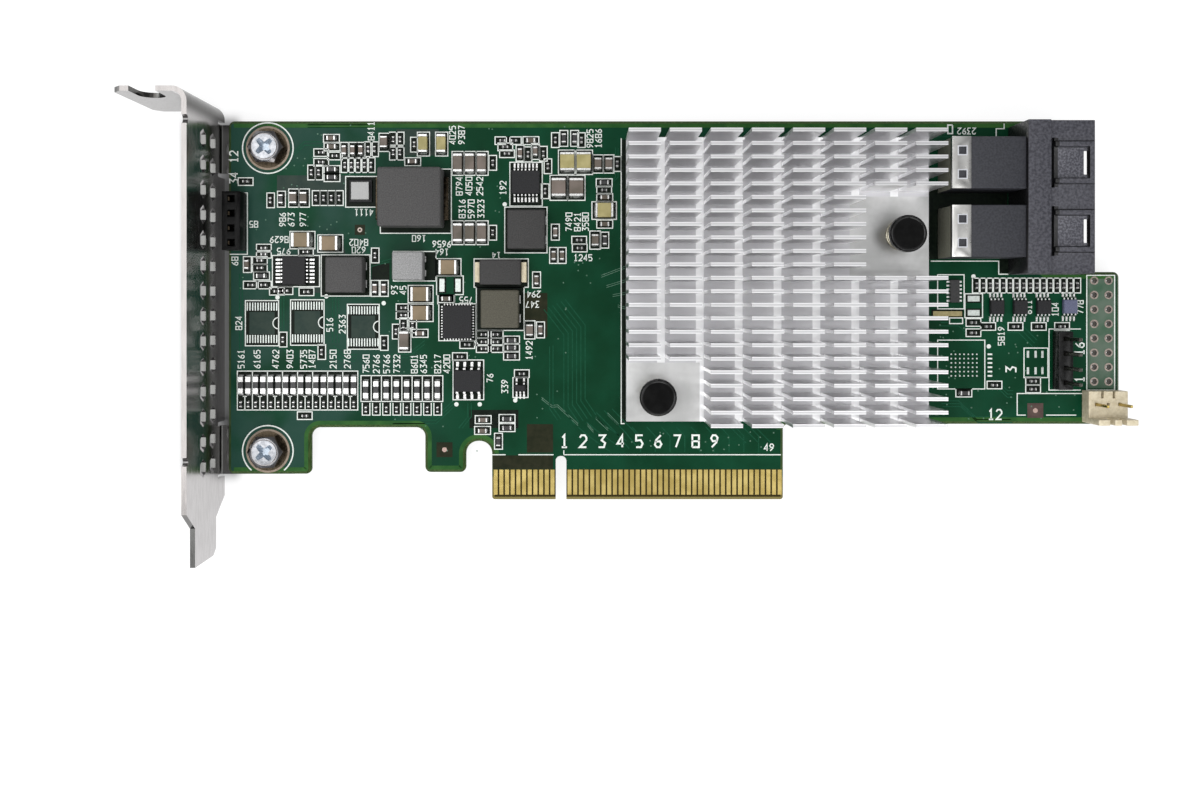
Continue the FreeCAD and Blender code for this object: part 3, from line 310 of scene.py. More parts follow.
def joined(item, angle=None):
    """Joins doubled points of an object, and flat neighbours too where an angle is given."""
    mesh = welded(item.data)
    if angle:
        bmesh.ops.dissolve_limit(mesh, angle_limit=math.radians(angle), verts=mesh.verts, edges=mesh.edges)
    mesh.to_mesh(item.data)
    mesh.free()
    return item


def carved(body, *steps):
    """The mesh of one shape after others are cut from it or kept in common with it."""
    item = joined(body.loose())
    tools = []
    for operation, other in steps:
        tools.append(joined(other.loose()))
        change = item.modifiers.new(operation, "BOOLEAN")
        change.operation, change.object, change.solver = operation, tools[-1], "EXACT"
        change.material_mode = "TRANSFER"
    view = bpy.context.evaluated_depsgraph_get()
    mesh = bpy.data.meshes.new_from_object(item.evaluated_get(view))
    for tool in (item, *tools):
        bpy.data.objects.remove(tool)
    return mesh


def solids_of(node):
    """The corners, in millimetres, of each separate solid in one CAD node."""
    mesh = welded(NODES[node].data)
    seen, boxes = set(), []
    for start in mesh.verts:
        if start in seen:
            continue
        seen.add(start)
        group = [start]
        for vertex in group:
            for edge in vertex.link_edges:
                other = edge.other_vert(vertex)
                if other not in seen:
                    seen.add(other)
                    group.append(other)
        spots = [vertex.co / MM for vertex in group]
        boxes.append((Vector(map(min, *spots)), Vector(map(max, *spots))))
    mesh.free()
    return boxes


def board_loops():
    """The outline of the board's face and the outlines of the holes in it, the longest first."""
    mesh = welded(NODES["circuit_board"].data)
    level, close = 0.9, 0.01
    follows = {}
    for face in mesh.faces:
        if face.normal.z < level or abs(face.calc_center_median().z / MM - TOP) > close:
            continue
        for loop in face.loops:
            other = [near for near in loop.edge.link_faces if near is not face]
            if not other or other[0].normal.z < level:
                follows[loop.vert] = loop.link_loop_next.vert
    loops = []
    while follows:
        start, vertex = follows.popitem()
        path = [start]
        while vertex is not start:
            path.append(vertex)
            vertex = follows.pop(vertex)
        loops.append([Vector((spot.co.x / MM, spot.co.y / MM)) for spot in path])
    mesh.free()
    return sorted(loops, key=lambda path: -sum((a - b).length for a, b in zip(path, path[1:])))


def softened(node, material, width, segments=2):
    """Stands a copy of a CAD node with rounded edges in its place."""
    item = linked(f"{node}_rounded", NODES[node].data.copy())
    joined(item, 0.5)
    item.data.materials.clear()
    item.data.materials.append(material)
    rounding = item.modifiers.new("rounded_edges", "BEVEL")
    rounding.width = width * MM
    rounding.segments = segments
    rounding.limit_method = "ANGLE"
    rounding.angle_limit = math.radians(35)
    rounding.harden_normals = True
    item.data.polygons.foreach_set("use_smooth", [True] * len(item.data.polygons))
    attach(item, "root")
    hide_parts(node)


# Materials

# Pitch of the fins along and across the card, their thickness and the saw cut between two of them
FIN_PITCH = 6.7
FIN_ROW_PITCH = 2.2
FIN_THICKNESS = 0.6
FIN_GAP = 1.45
# Length of the milled corners of the heatsink, width of the lower one, and limits of the upper one,
# measured from the upper edge
CORNER_LENGTH = 12.7
CORNER_WIDTH = 10.2
UPPER_CORNER = (23.4, 10.2)
# Height of the port housing beside its band, and the distance between its ports
HOUSING_HEIGHT = 7.8
PORT_PITCH = 11.55
# Tones that differ from place to place on one material, among them painted shade on the bracket and the
# housing, painted reflections on the bracket's bend and the receptacles, a painted highlight on the fins and
# a painted sheen on the mask
# Painted shade on the bracket's upward faces, and a painted dark reflection on its bend
TAB_PAINTED_SHADE = (0.1, 0.1, 0.097)
BEND_PAINTED_REFLECTION = (0.055, 0.053, 0.05)
LIP_STEEL = (0.2, 0.19, 0.186)
VALLEY, SAWN = (0.5, 0.495, 0.51), (0.76, 0.76, 0.765)
MILLED = (0.42, 0.42, 0.415), (0.57, 0.57, 0.565)
# Painted highlight along the edges of the fin tops, darker along their middles
FIN_EDGE_HIGHLIGHT = (0.56, 0.555, 0.565), (0.84, 0.84, 0.845)
SCUFFS = (0.045, 0.045, 0.057), (0.12, 0.12, 0.14)
# Painted shade in the housing's latch slots and on its walls that face along -X
SLOT_PAINTED_SHADE = (0.006, 0.006, 0.007)
# Painted reflection of the heatsink on the receptacles' back walls
REAR_REFLECTION = (0.17, 0.17, 0.135)
GREENS = (0.0015, 0.034, 0.013), (0.003, 0.048, 0.021)
# Painted sheen on the mask near the bracket
SHEEN_GREEN = (0.016, 0.056, 0.04)
PALE_GREENS = (0.055, 0.11, 0.07), (0.11, 0.15, 0.115)
CUT_GREENS = (0.03, 0.06, 0.018), (0.06, 0.1, 0.03)
LAMINATE, BARE_LAMINATE = (0.2, 0.165, 0.055), (0.03, 0.022, 0.005)
# Limits of the pale area of mask round the test holes, and how strongly mask reflects
PALE_AREA = (92.6, 19.4, 97.8, 39.4)
MASK_SPECULAR = 0.06
# Stretch of a grain that is alike in all directions
EVEN = (1, 1, 1)


def fill(tree, item, inputs):
    """Gives the inputs of a node a plain value, a colour or the output of another node."""
    for name, value in inputs.items():
        socket = item.inputs[name]
        if isinstance(value, bpy.types.NodeSocket):
            tree.links.new(value, socket)
        else:
            socket.default_value = (*value, 1) if socket.type == "RGBA" else value


def node(tree, kind, inputs, **settings):
    """The outputs of a new node."""
    item = tree.nodes.new(f"ShaderNode{kind}")
    for name, value in settings.items():
        setattr(item, name, value)
    fill(tree, item, inputs)
    return item.outputs


def grain(tree, size, stretch=EVEN, detail=4.0):
    """Noise whose patches are about one size across, in millimetres."""
    place = node(tree, "TexCoord", {})["Object"]
    mapped = node(tree, "Mapping", {"Vector": place, "Scale": stretch})["Vector"]
    return node(tree, "TexNoise", {"Vector": mapped, "Scale": 1 / (size * MM), "Detail": detail})["Fac"]


def blend(tree, factor, first, second):
    """A colour between two others."""
    return node(tree, "Mix", {"Factor": factor, "A": first, "B": second}, data_type="RGBA")["Result"]


def spread(tree, value, low, high, to_low=0.0, to_high=1.0):
    """A value of one range carried to another, smoothly and without overshoot."""
    inputs = {"Value": value, "From Min": low, "From Max": high, "To Min": to_low, "To Max": to_high}
    return node(tree, "MapRange", inputs, interpolation_type="SMOOTHSTEP")["Result"]


def combine(tree, operation, first, second):
    """One value worked out from two others."""
    return node(tree, "Math", {0: first, 1: second}, operation=operation)["Value"]


def both(tree, first, second):
    """One where two values are one."""
    return combine(tree, "MULTIPLY", first, second)


def place_of(tree):
    """The three parts of a place on the card, in metres."""
    return node(tree, "SeparateXYZ", {"Vector": node(tree, "TexCoord", {})["Object"]})


def facing_of(tree):
    """The three parts of the direction in which a face looks."""
    return node(tree, "SeparateXYZ", {"Vector": node(tree, "NewGeometry", {})["Normal"]})


def ramp(tree, part, low, high):
    """Nought to one along a part of a place, between two values in millimetres."""
    return spread(tree, part, low * MM, high * MM)


def within(tree, part, low, high, fade):
    """One where a part of a place lies between two values, fading to nought at both ends."""
    return both(tree, ramp(tree, part, low, low + fade), ramp(tree, part, high, high - fade))


def area(tree, limits, fade_x, fade_y):
    """One inside a rectangle on the card, fading to nought at its sides."""
    low_x, low_y, high_x, high_y = limits
    place = place_of(tree)
    along = within(tree, place["X"], low_x, high_x, fade_x)
    return both(tree, along, within(tree, place["Y"], low_y, high_y, fade_y))


def apart(tree, part, start, pitch):
    """How far a part of a place lies from the nearest one in a row of one pitch."""
    shift = combine(tree, "SUBTRACT", part, start * MM)
    return combine(tree, "PINGPONG", shift, pitch * MM / 2)


def mottled(tree, size, tones, low=0.35, high=0.65):
    """Patches of two tones, about one size across."""
    return blend(tree, spread(tree, grain(tree, size), low, high), *tones)


def uneven(tree, shader, size, strength, depth, stretch=EVEN):
    """Fine relief on a shader."""
    inputs = {"Strength": strength, "Distance": depth * MM, "Height": grain(tree, size, stretch)}
    fill(tree, shader, {"Normal": node(tree, "Bump", inputs)["Normal"]})


def fresh(name):
    """A new material, its nodes and its shader."""
    material = bpy.data.materials.new(name)
    material.use_nodes = True
    return material, material.node_tree, material.node_tree.nodes["Principled BSDF"]


def surface(name, dark, light, size, roughness, metallic=0.0, relief=0.0, specular=0.5, stretch=EVEN,
            tint=None):
    """A finish whose tone, gloss and relief follow one grain; tint changes the tone from place to place."""
    material, tree, shader = fresh(name)
    noise = grain(tree, size, stretch)
    tone = blend(tree, spread(tree, noise, 0.3, 0.7), dark, light)
    if tint:
        tone = tint(tree, tone)
    fill(tree, shader, {"Base Color": tone, "Roughness": spread(tree, noise, 0.3, 0.7, *roughness),
                        "Metallic": metallic, "Specular IOR Level": specular})
    if relief:
        uneven(tree, shader, size / 3, relief, 0.05, stretch)
    return material


def sheared_edge(tree, tone):
    """Painted shade on the bracket's upward faces, its tabs among them, and a painted dark reflection on its
    bend; bright metal on the cut edge furthest from the board.
    """
    place, facing = place_of(tree), facing_of(tree)
    bend_rise, lip_rise = (64.6, 67.2), (14.8, 15.3)
    upward = spread(tree, facing["Z"], 0.4, 0.7)
    # Painted shade on every upward face, the tabs among them
    tone = blend(tree, upward, tone, TAB_PAINTED_SHADE)
    # Painted dark reflection on the bend
    bend = both(tree, spread(tree, facing["X"], -0.1, 0.1), ramp(tree, place["Y"], *bend_rise))
    tone = blend(tree, bend, tone, BEND_PAINTED_REFLECTION)
    lip = both(tree, upward, ramp(tree, place["Z"], *lip_rise))
    return blend(tree, lip, tone, LIP_STEEL)


def machined(tree, tone):
    """Bright metal where the heatsink is sawn and its corners are milled, a darker tone on the rest of the
    floor between the fins, and a painted highlight along the edges of the fin tops.
    """
    low, high = box_of("heatsink")
    place = place_of(tree)
    upward = spread(tree, facing_of(tree)["Z"], 0.5, 0.8)
    half_cut, beyond, fade = FIN_GAP / 2, 1.0, 0.1
    base_fall, top_rise, highlight_fall = (7.0, 6.0), (12.0, 13.0), (0.12, 0.2)
    from_cut = apart(tree, place["X"], low.x + FIN_PITCH - half_cut, FIN_PITCH)
    ground = blend(tree, ramp(tree, from_cut, half_cut, half_cut - fade), VALLEY, SAWN)
    milled = mottled(tree, 7.0, MILLED)
    near, far = (high.y - distance for distance in UPPER_CORNER)
    for limits in ((low.x - beyond, low.y - beyond, low.x + CORNER_LENGTH, low.y + CORNER_WIDTH),
                   (high.x - CORNER_LENGTH - beyond, near - beyond, high.x, far)):
        ground = blend(tree, area(tree, limits, fade, fade), ground, milled)
    tone = blend(tree, both(tree, upward, ramp(tree, place["Z"], *base_fall)), tone, ground)
    # Painted highlight along the edges of each fin top
    top = both(tree, upward, ramp(tree, place["Z"], *top_rise))
    from_fin = apart(tree, place["Y"], low.y + FIN_THICKNESS / 2, FIN_ROW_PITCH)
    return blend(tree, top, tone, blend(tree, ramp(tree, from_fin, *highlight_fall), *FIN_EDGE_HIGHLIGHT))


def scuffed(tree, tone):
    """Scuffed plates inside the latch frames of the housing, and painted shade on the latch slots and on the
    walls that face along -X.
    """
    place, facing = place_of(tree), facing_of(tree)
    plate_levels, slot_limits, slot_half = (8.1, 8.5), (82.7, 84.1), (4.2, 4.1)
    level = within(tree, place["Z"], *plate_levels, 0.1)
    plate = both(tree, spread(tree, facing["Z"], 0.7, 0.9), level)
    tone = blend(tree, plate, tone, mottled(tree, 0.35, SCUFFS, 0.4))
    low, high = box_of("port_housing")
    from_port = apart(tree, place["Y"], (low.y + high.y + PORT_PITCH) / 2, PORT_PITCH)
    # Painted shade in the latch slot
    slot = both(tree, within(tree, place["X"], *slot_limits, 0.05), ramp(tree, from_port, *slot_half))
    tone = blend(tree, slot, tone, SLOT_PAINTED_SHADE)
    # Painted shade on the walls that face along -X
    return blend(tree, spread(tree, facing["X"], -0.5, -0.8), tone, SLOT_PAINTED_SHADE)


def rear_plate(tree, tone):
    """A lighter tone on the back wall of a receptacle, a painted reflection of the heatsink."""
    return blend(tree, spread(tree, facing_of(tree)["X"], -0.6, -0.85), tone, REAR_REFLECTION)


def solder_mask():
    """Green mask over copper with a painted sheen in patches near the bracket; bare laminate by the contacts
    and at the cut edges.
    """
    material, tree, shader = fresh("solder_mask")
    place = place_of(tree)
    sheen_rise, tongue_end = (-15, -42), (-13.0, -13.1)
    cut_edge, bare_edge, mask_edge = (4.2, 3.8), (0.4, 0.6), (5.3, 5.4)
    # Painted sheen in patches, stronger towards the bracket
    patches = spread(tree, grain(tree, 13.0, detail=2.0), 0.38, 0.55)
    sheen = both(tree, ramp(tree, place["X"], *sheen_rise), patches)
    green = blend(tree, sheen, mottled(tree, 9.0, GREENS), SHEEN_GREEN)
    green = blend(tree, area(tree, PALE_AREA, 0.4, 0.4), green, mottled(tree, 4.0, PALE_GREENS))
    weave = spread(tree, grain(tree, 0.35, stretch=(1, 0.2, 1)), 0.35, 0.65)
    upward = facing_of(tree)["Z"]
    level = spread(tree, both(tree, upward, upward), 0.64, 0.81)
    cut = blend(tree, ramp(tree, place["Y"], *cut_edge), blend(tree, weave, *CUT_GREENS), LAMINATE)
    flat = blend(tree, ramp(tree, place["Y"], *bare_edge), LAMINATE, BARE_LAMINATE)
    above = ramp(tree, place["Y"], *mask_edge)
    beside = combine(tree, "MAXIMUM", above, ramp(tree, place["X"], *tongue_end))
    tone = blend(tree, both(tree, level, beside), blend(tree, level, cut, flat), green)
    roughness = spread(tree, grain(tree, 1.5), 0.3, 0.7, 0.3, 0.42)
    fill(tree, shader, {"Base Color": tone, "Roughness": roughness, "Specular IOR Level": MASK_SPECULAR})
    uneven(tree, shader, 0.5, 0.12, 0.02)
    return material


def grey(tone):
    """A colour without a hue."""
    return tone, tone, tone


def mask_tone(name, dark, light, size):
    """Solder mask whose tone comes from what lies under it."""
    return surface(name, dark, light, size, (0.3, 0.45), specular=MASK_SPECULAR)


def ferrite(name, dark, light, specular=0.3):
    """Pressed ferrite with a coarse skin."""
    return surface(name, dark, light, 0.2, (0.5, 0.7), relief=0.6, specular=specular)


def ceramic(name, dark, light, size):
    """The fired body of a chip component."""
    return surface(name, dark, light, size, (0.35, 0.5), specular=0.3)


# Each finish has a name, a dark and a light tone, the size of its grain, a range of roughness and,
# where it is metal, the share of metal in it
MASK = solder_mask()
# Dark mask without copper; also the patches of painted shade
DARK_MASK_AND_SHADE = mask_tone("dark_mask_and_painted_shade", (0.003, 0.006, 0.004), (0.008, 0.013, 0.008), 0.8)
MASK_LINE = mask_tone("mask_over_track", (0.005, 0.058, 0.028), (0.009, 0.074, 0.038), 0.6)
MASK_HOLE = mask_tone("mask_over_hole", (0.07, 0.15, 0.1), (0.13, 0.23, 0.17), 0.3)
MASK_RIM = mask_tone("mask_at_edge", (0.016, 0.075, 0.017), (0.036, 0.115, 0.026), 3.0)
MASK_GREY = mask_tone("mask_over_pour", (0.022, 0.04, 0.033), (0.036, 0.054, 0.044), 1.4)
MASK_BROWN = mask_tone("mask_over_laminate", (0.014, 0.017, 0.008), (0.023, 0.024, 0.012), 1.4)
MASK_RED = mask_tone("mask_over_target", (0.07, 0.045, 0.04), (0.1, 0.068, 0.06), 1.4)
SILK = surface("white_ink", (0.66, 0.7, 0.66), (0.82, 0.85, 0.81), 0.25, (0.5, 0.7), relief=0.3, specular=0.3)
TIN = surface("solder_tin", (0.5, 0.5, 0.49), (0.72, 0.72, 0.71), 0.3, (0.25, 0.42), 1.0, relief=0.35)
LAND = surface("dull_land", (0.44, 0.48, 0.45), (0.62, 0.66, 0.63), 0.3, (0.35, 0.5), 0.7, relief=0.2)
GOLD = surface("gold_plating", (0.43, 0.325, 0.1), (0.52, 0.41, 0.15), 2.5, (0.22, 0.32), 1.0, relief=0.05)
# Very dark bronze, which is painted shade round the screw heads, on the main inductor's terminals, on the bus
# header's contacts and in the barrels of the small holes
BRONZE_AND_SHADE = surface("dull_bronze_and_painted_shade", (0.02, 0.016, 0.011), (0.055, 0.043, 0.029), 0.4, (0.22, 0.36), 1.0)
DARK_PIN = surface("dark_pin", (0.05, 0.05, 0.045), (0.12, 0.115, 0.1), 0.4, (0.25, 0.4), 1.0)
SPRING = surface("spring_steel", (0.34, 0.315, 0.24), (0.52, 0.49, 0.39), 0.5, (0.18, 0.3), 1.0)
TARGET = surface("bright_copper", (0.32, 0.22, 0.19), (0.42, 0.31, 0.27), 0.3, (0.3, 0.45), 0.7)
RING = surface("plated_ring", (0.24, 0.2, 0.175), (0.38, 0.32, 0.28), 0.4, (0.3, 0.45), 0.7, relief=0.2)
SCREW_LAND = surface("screw_land", (0.26, 0.2, 0.15), (0.36, 0.29, 0.23), 0.6, (0.4, 0.55), relief=0.2,
                     specular=0.2)
GILT = surface("gilt_bar", (0.26, 0.22, 0.1), (0.36, 0.31, 0.15), 0.5, (0.4, 0.55), 0.5, relief=0.1)
STEEL = surface("plated_steel", (0.46, 0.445, 0.445), (0.54, 0.525, 0.525), 0.5, (0.16, 0.26), 1.0,
                relief=0.12, stretch=(1, 0.15, 1), tint=sheared_edge)
SHELL = surface("shell_steel", (0.44, 0.435, 0.42), (0.52, 0.515, 0.5), 2.0, (0.26, 0.36), 1.0, relief=0.05)
HEXAGON = surface("hexagon_steel", (0.1, 0.095, 0.095), (0.2, 0.19, 0.19), 2.0, (0.12, 0.2), 1.0)
CHROME = surface("bright_steel", (0.62, 0.63, 0.67), (0.78, 0.79, 0.83), 1.6, (0.14, 0.22), 1.0)
CROWN = surface("crown_steel", (0.13, 0.135, 0.145), (0.26, 0.265, 0.28), 0.7, (0.16, 0.26), 1.0)
LID = surface("brushed_lid", grey(0.24), (0.36, 0.36, 0.355), 1.2, (0.42, 0.56), 1.0, relief=0.2,
              stretch=(0.4, 1, 1))
RECESS = surface("recess_steel", (0.36, 0.42, 0.48), (0.52, 0.58, 0.66), 0.3, (0.3, 0.45), 0.5, relief=0.1)
ALUMINIUM = surface("etched_aluminium", (0.9, 0.895, 0.905), (0.985, 0.98, 0.985), 0.5, (0.3, 0.42), 1.0,
                    relief=0.15, stretch=(0.06, 1, 1), tint=machined)
SLATE = surface("slate_plastic", (0.026, 0.027, 0.033), (0.042, 0.043, 0.051), 0.35, (0.4, 0.6),
                relief=0.4, specular=0.3, tint=rear_plate)
WORN = surface("worn_plastic", (0.034, 0.034, 0.043), (0.082, 0.082, 0.098), 0.45, (0.3, 0.55),
               relief=0.6, specular=0.4, tint=scuffed)
BLACK = surface("black_plastic", grey(0.006), grey(0.011), 0.5, (0.2, 0.32), relief=0.06, specular=0.2)
GLOSS = surface("gloss_plastic", grey(0.003), grey(0.006), 1.5, (0.1, 0.16), specular=0.06)
GLOSS_RIM = surface("gloss_rim", grey(0.005), grey(0.009), 1.5, (0.1, 0.16), specular=0.25)
DEEP = surface("deep_plastic", grey(0.003), grey(0.007), 0.5, (0.3, 0.45), specular=0.1)
CREAM = surface("cream_nylon", (0.58, 0.5, 0.34), (0.72, 0.64, 0.47), 0.6, (0.4, 0.55), relief=0.15)
EPOXY = surface("moulded_epoxy", (0.012, 0.012, 0.013), (0.024, 0.024, 0.026), 0.16, (0.45, 0.65),
                relief=0.4, specular=0.2)
EPOXY_BLUE = surface("blue_epoxy", (0.07, 0.08, 0.14), (0.12, 0.13, 0.21), 0.16, (0.4, 0.6), relief=0.3)
FERRITE = ferrite("dark_ferrite", (0.045, 0.044, 0.044), (0.085, 0.083, 0.082))
FERRITE_DARK = ferrite("black_ferrite", (0.026, 0.025, 0.025), (0.05, 0.049, 0.048))
FERRITE_BROWN = ferrite("brown_ferrite", (0.06, 0.056, 0.04), (0.1, 0.094, 0.07))
FERRITE_GREY = ferrite("grey_ferrite", grey(0.2), grey(0.34), specular=0.5)
CERAMIC_TAN = ceramic("tan_ceramic", (0.15, 0.115, 0.06), (0.25, 0.185, 0.115), 5.0)
CERAMIC_CREAM = ceramic("cream_ceramic", (0.3, 0.26, 0.1), (0.4, 0.35, 0.16), 2.0)
CERAMIC_MAUVE = ceramic("mauve_ceramic", (0.075, 0.064, 0.045), (0.18, 0.145, 0.125), 5.0)
RESISTOR = surface("resistor_glaze", (0.008, 0.008, 0.009), grey(0.02), 0.3, (0.3, 0.45), relief=0.2)
SILICON = surface("polished_silicon", (0.16, 0.16, 0.19), (0.22, 0.22, 0.26), 1.5, (0.1, 0.2), 0.4)
SUBSTRATE = surface("package_substrate", (0.01, 0.09, 0.045), (0.015, 0.12, 0.06), 0.7, (0.35, 0.5))
PASTE = surface("thermal_pad", (0.45, 0.45, 0.47), (0.58, 0.58, 0.6), 0.6, (0.7, 0.9), relief=0.4)

# Finishes of the CAD nodes that stay in view
DRESSED = {
    "circuit_board": MASK, "front_contacts": GOLD, "back_contacts": GOLD, "port_contacts": GOLD,
    # The bus header's contacts are dark as painted shade in their holes
    "bus_header_contacts": BRONZE_AND_SHADE, "mounting_bracket": STEEL, "controller_substrate": SUBSTRATE,
    "controller_die": SILICON, "thermal_pad": PASTE, "heatsink": ALUMINIUM,
}


def dress():
    """Gives the CAD nodes that stay in view their finish."""
    for node, material in DRESSED.items():
        slots = NODES[node].data.materials
        slots.clear()
        slots.append(material)


# Camera, light and floor

# Size of the photograph, its points to a millimetre, the place below the camera in it and on the card,
# the camera's height above the card and the width of its sensor
PHOTO_WIDTH, PHOTO_HEIGHT = 1200, 800
SCALE = 5.68
NADIR = (582, 306)
NADIR_SPOT = (3.7, 34.1)
CAMERA_HEIGHT = 187.0
SENSOR = 36.0
# Place, aim, size and power of each softbox
SOFTBOXES = {
    "top_softbox": ((10, 35, 700), (10, 35, 0), 700, 0.9),
    "left_softbox": ((-230, 60, 420), (0, 35, 0), 300, 0.95),
    "right_softbox": ((260, -120, 380), (10, 35, 0), 220, 0.36),
    "front_softbox": ((30, -290, 300), (30, 40, 5), 260, 0.85),
}
# The paper's reach, its distance below the card, its tone and glow, and the area below the bracket
# where it keeps its shadow
PAPER_REACH = 30000
PAPER_GAP = 0.05
PAPER_TONE = 0.27
PAPER_GLOW = 0.8
SHADED_AREA = (-69.5, 1.0, -56.0, 70.0)
# Colour and strength of the light from all round
SKY = (0.97, 0.98, 1.0, 1)
SKY_STRENGTH = 0.4


def photo_camera():
    """Looks straight down on the card from where the photograph was taken."""
    data = bpy.data.cameras.new("photo_camera")
    data.sensor_width = SENSOR
    data.lens = SCALE * CAMERA_HEIGHT / PHOTO_WIDTH * SENSOR
    data.shift_x = (PHOTO_WIDTH / 2 - NADIR[0]) / PHOTO_WIDTH
    data.shift_y = (NADIR[1] - PHOTO_HEIGHT / 2) / PHOTO_WIDTH
    data.clip_start = 0.01
    item = linked("photo_camera", data)
    item.location = Vector((*NADIR_SPOT, TOP + CAMERA_HEIGHT)) * MM
    bpy.context.scene.camera = item


def soft_light(name, spot, aim, size, power):
    """A square softbox that points at a place on the card."""
    data = bpy.data.lights.new(name, "AREA")
    data.size = size * MM
    data.energy = power
    item = linked(name, data)
    item.location = Vector(spot) * MM
    item.rotation_euler = (Vector(aim) - Vector(spot)).to_track_quat("-Z", "Y").to_euler()


def white_paper():
    """Paper that looks white to the eye and in metal, and keeps its shadow below the bracket."""
    material, tree, shader = fresh("white_paper")
    path = node(tree, "LightPath", {})
    seen = combine(tree, "ADD", path["Is Camera Ray"], path["Is Glossy Ray"])
    seen = combine(tree, "ADD", seen, path["Is Transmission Ray"])
    shaded = area(tree, SHADED_AREA, 3.0, 5.0)
    glow = both(tree, seen, spread(tree, shaded, 0.0, 1.0, PAPER_GLOW, 0.0))
    fill(tree, shader, {"Base Color": grey(PAPER_TONE), "Roughness": 0.9, "Specular IOR Level": 0.1,
                        "Emission Color": grey(1), "Emission Strength": glow})
    return material


def studio():
    """White paper under the card and even light from all round."""
    mesh = bpy.data.meshes.new("paper")
    corners = rectangle(-PAPER_REACH, -PAPER_REACH, PAPER_REACH, PAPER_REACH)
    points = [Vector((*corner, FLOOR - PAPER_GAP)) * MM for corner in corners]
    mesh.from_pydata(points, [], [(0, 1, 2, 3)])
    mesh.materials.append(white_paper())
    paper = linked("paper", mesh)
    world = bpy.data.worlds.new("studio")
    world.use_nodes = True
    background = world.node_tree.nodes["Background"]
    background.inputs["Color"].default_value = SKY
    background.inputs["Strength"].default_value = SKY_STRENGTH
    bpy.context.scene.world = world
    for name, lamp in SOFTBOXES.items():
        soft_light(name, *lamp)


# Screws, push pins and springs

# Outline of a cross arm, how it narrows towards its floor, its depth and turns, and the screw's height
ARM = [(-1.75, -0.3), (-1.45, -0.42), (-0.6, -0.52), (0.6, -0.52), (1.45, -0.42), (1.75, -0.3),
       (1.75, 0.3), (1.45, 0.42), (0.6, 0.52), (-0.6, 0.52), (-1.45, 0.42), (-1.75, 0.3)]
ARM_FLOOR = (0.4, 0.75)
ARM_DEPTH = 1.3
ARM_TURNS = (42, 132)
HEAD_HEIGHT = 2.4


def cross_arm(turn, top):
    """One arm of a cross recess, deeper at its middle."""
    along, across = directions(turn)
    narrow_u, narrow_v = ARM_FLOOR
    upper = [along * u + across * v for u, v in ARM]
    lower = [along * u * narrow_u + across * v * narrow_v for u, v in ARM]
    arm = Shape("arm")
    levels = ((lower, top - ARM_DEPTH), (upper, top + 0.1), (upper, top + 1))
    arm.loft([[(*spot, level) for spot in spots] for spots, level in levels], RECESS)
    return arm


def screw_mesh(base, top):
    """A hexagon head with a chamfered crown and a cross recess, about the origin."""
    half_flats, corner, crown, segments = 2.72, 3.15, 2.5, 96
    reach = half_flats / math.cos(math.pi / 6)
    hexagon = Shape("hexagon")
    hexagon.prism([(reach * u, reach * v) for u, v in circle(6)], base, top + 1, HEXAGON)
    cap = Shape("crown")
    rim, ridge, groove = (crown + 0.05, top - 0.16), (crown - 0.16, top - 0.06), (crown - 0.36, top)
    foot = [(0, base - 1), (4, base - 1), (4, top - 1.1), (corner, top - 0.65), rim]
    hollow = [ridge, (crown - 0.2, top - 0.16), (crown - 0.3, top - 0.16), groove]
    dome = [groove, (crown * 0.6, top + 0.03), (0, top + 0.05)]
    bevel = [rim, (crown - 0.03, top - 0.09), ridge]
    for profile, material in ((foot, HEXAGON), (bevel, CROWN), (hollow, HEXAGON), (dome, CROWN)):
        cap.turned(profile, 0, 0, material, segments)
    arms = [("DIFFERENCE", cross_arm(turn, top)) for turn in ARM_TURNS]
    return carved(hexagon, ("INTERSECT", cap), *arms)


def bracket_screws():
    """The two screws that hold the board to the bracket tabs, with their threaded shanks."""
    shape = Shape("screws", "bracket_screws")
    head = screw_mesh(TOP, TOP + HEAD_HEIGHT)
    tip, valley, crest, pitch = 0.9, 1.3, 1.45, 0.5
    for low, high in solids_of("bracket_screws"):
        x, y = centre(low, high)
        shape.add_mesh(head, x, y)
        level = low.z + 0.3
        profile = [(0, low.z), (tip, low.z), (valley, level)]
        while level + pitch < TOP:
            profile += [(crest, level + pitch / 2), (valley, level + pitch)]
            level += pitch
        profile.append((valley, TOP))
        shape.turned(profile, x, y, CHROME)
    shape.piece()


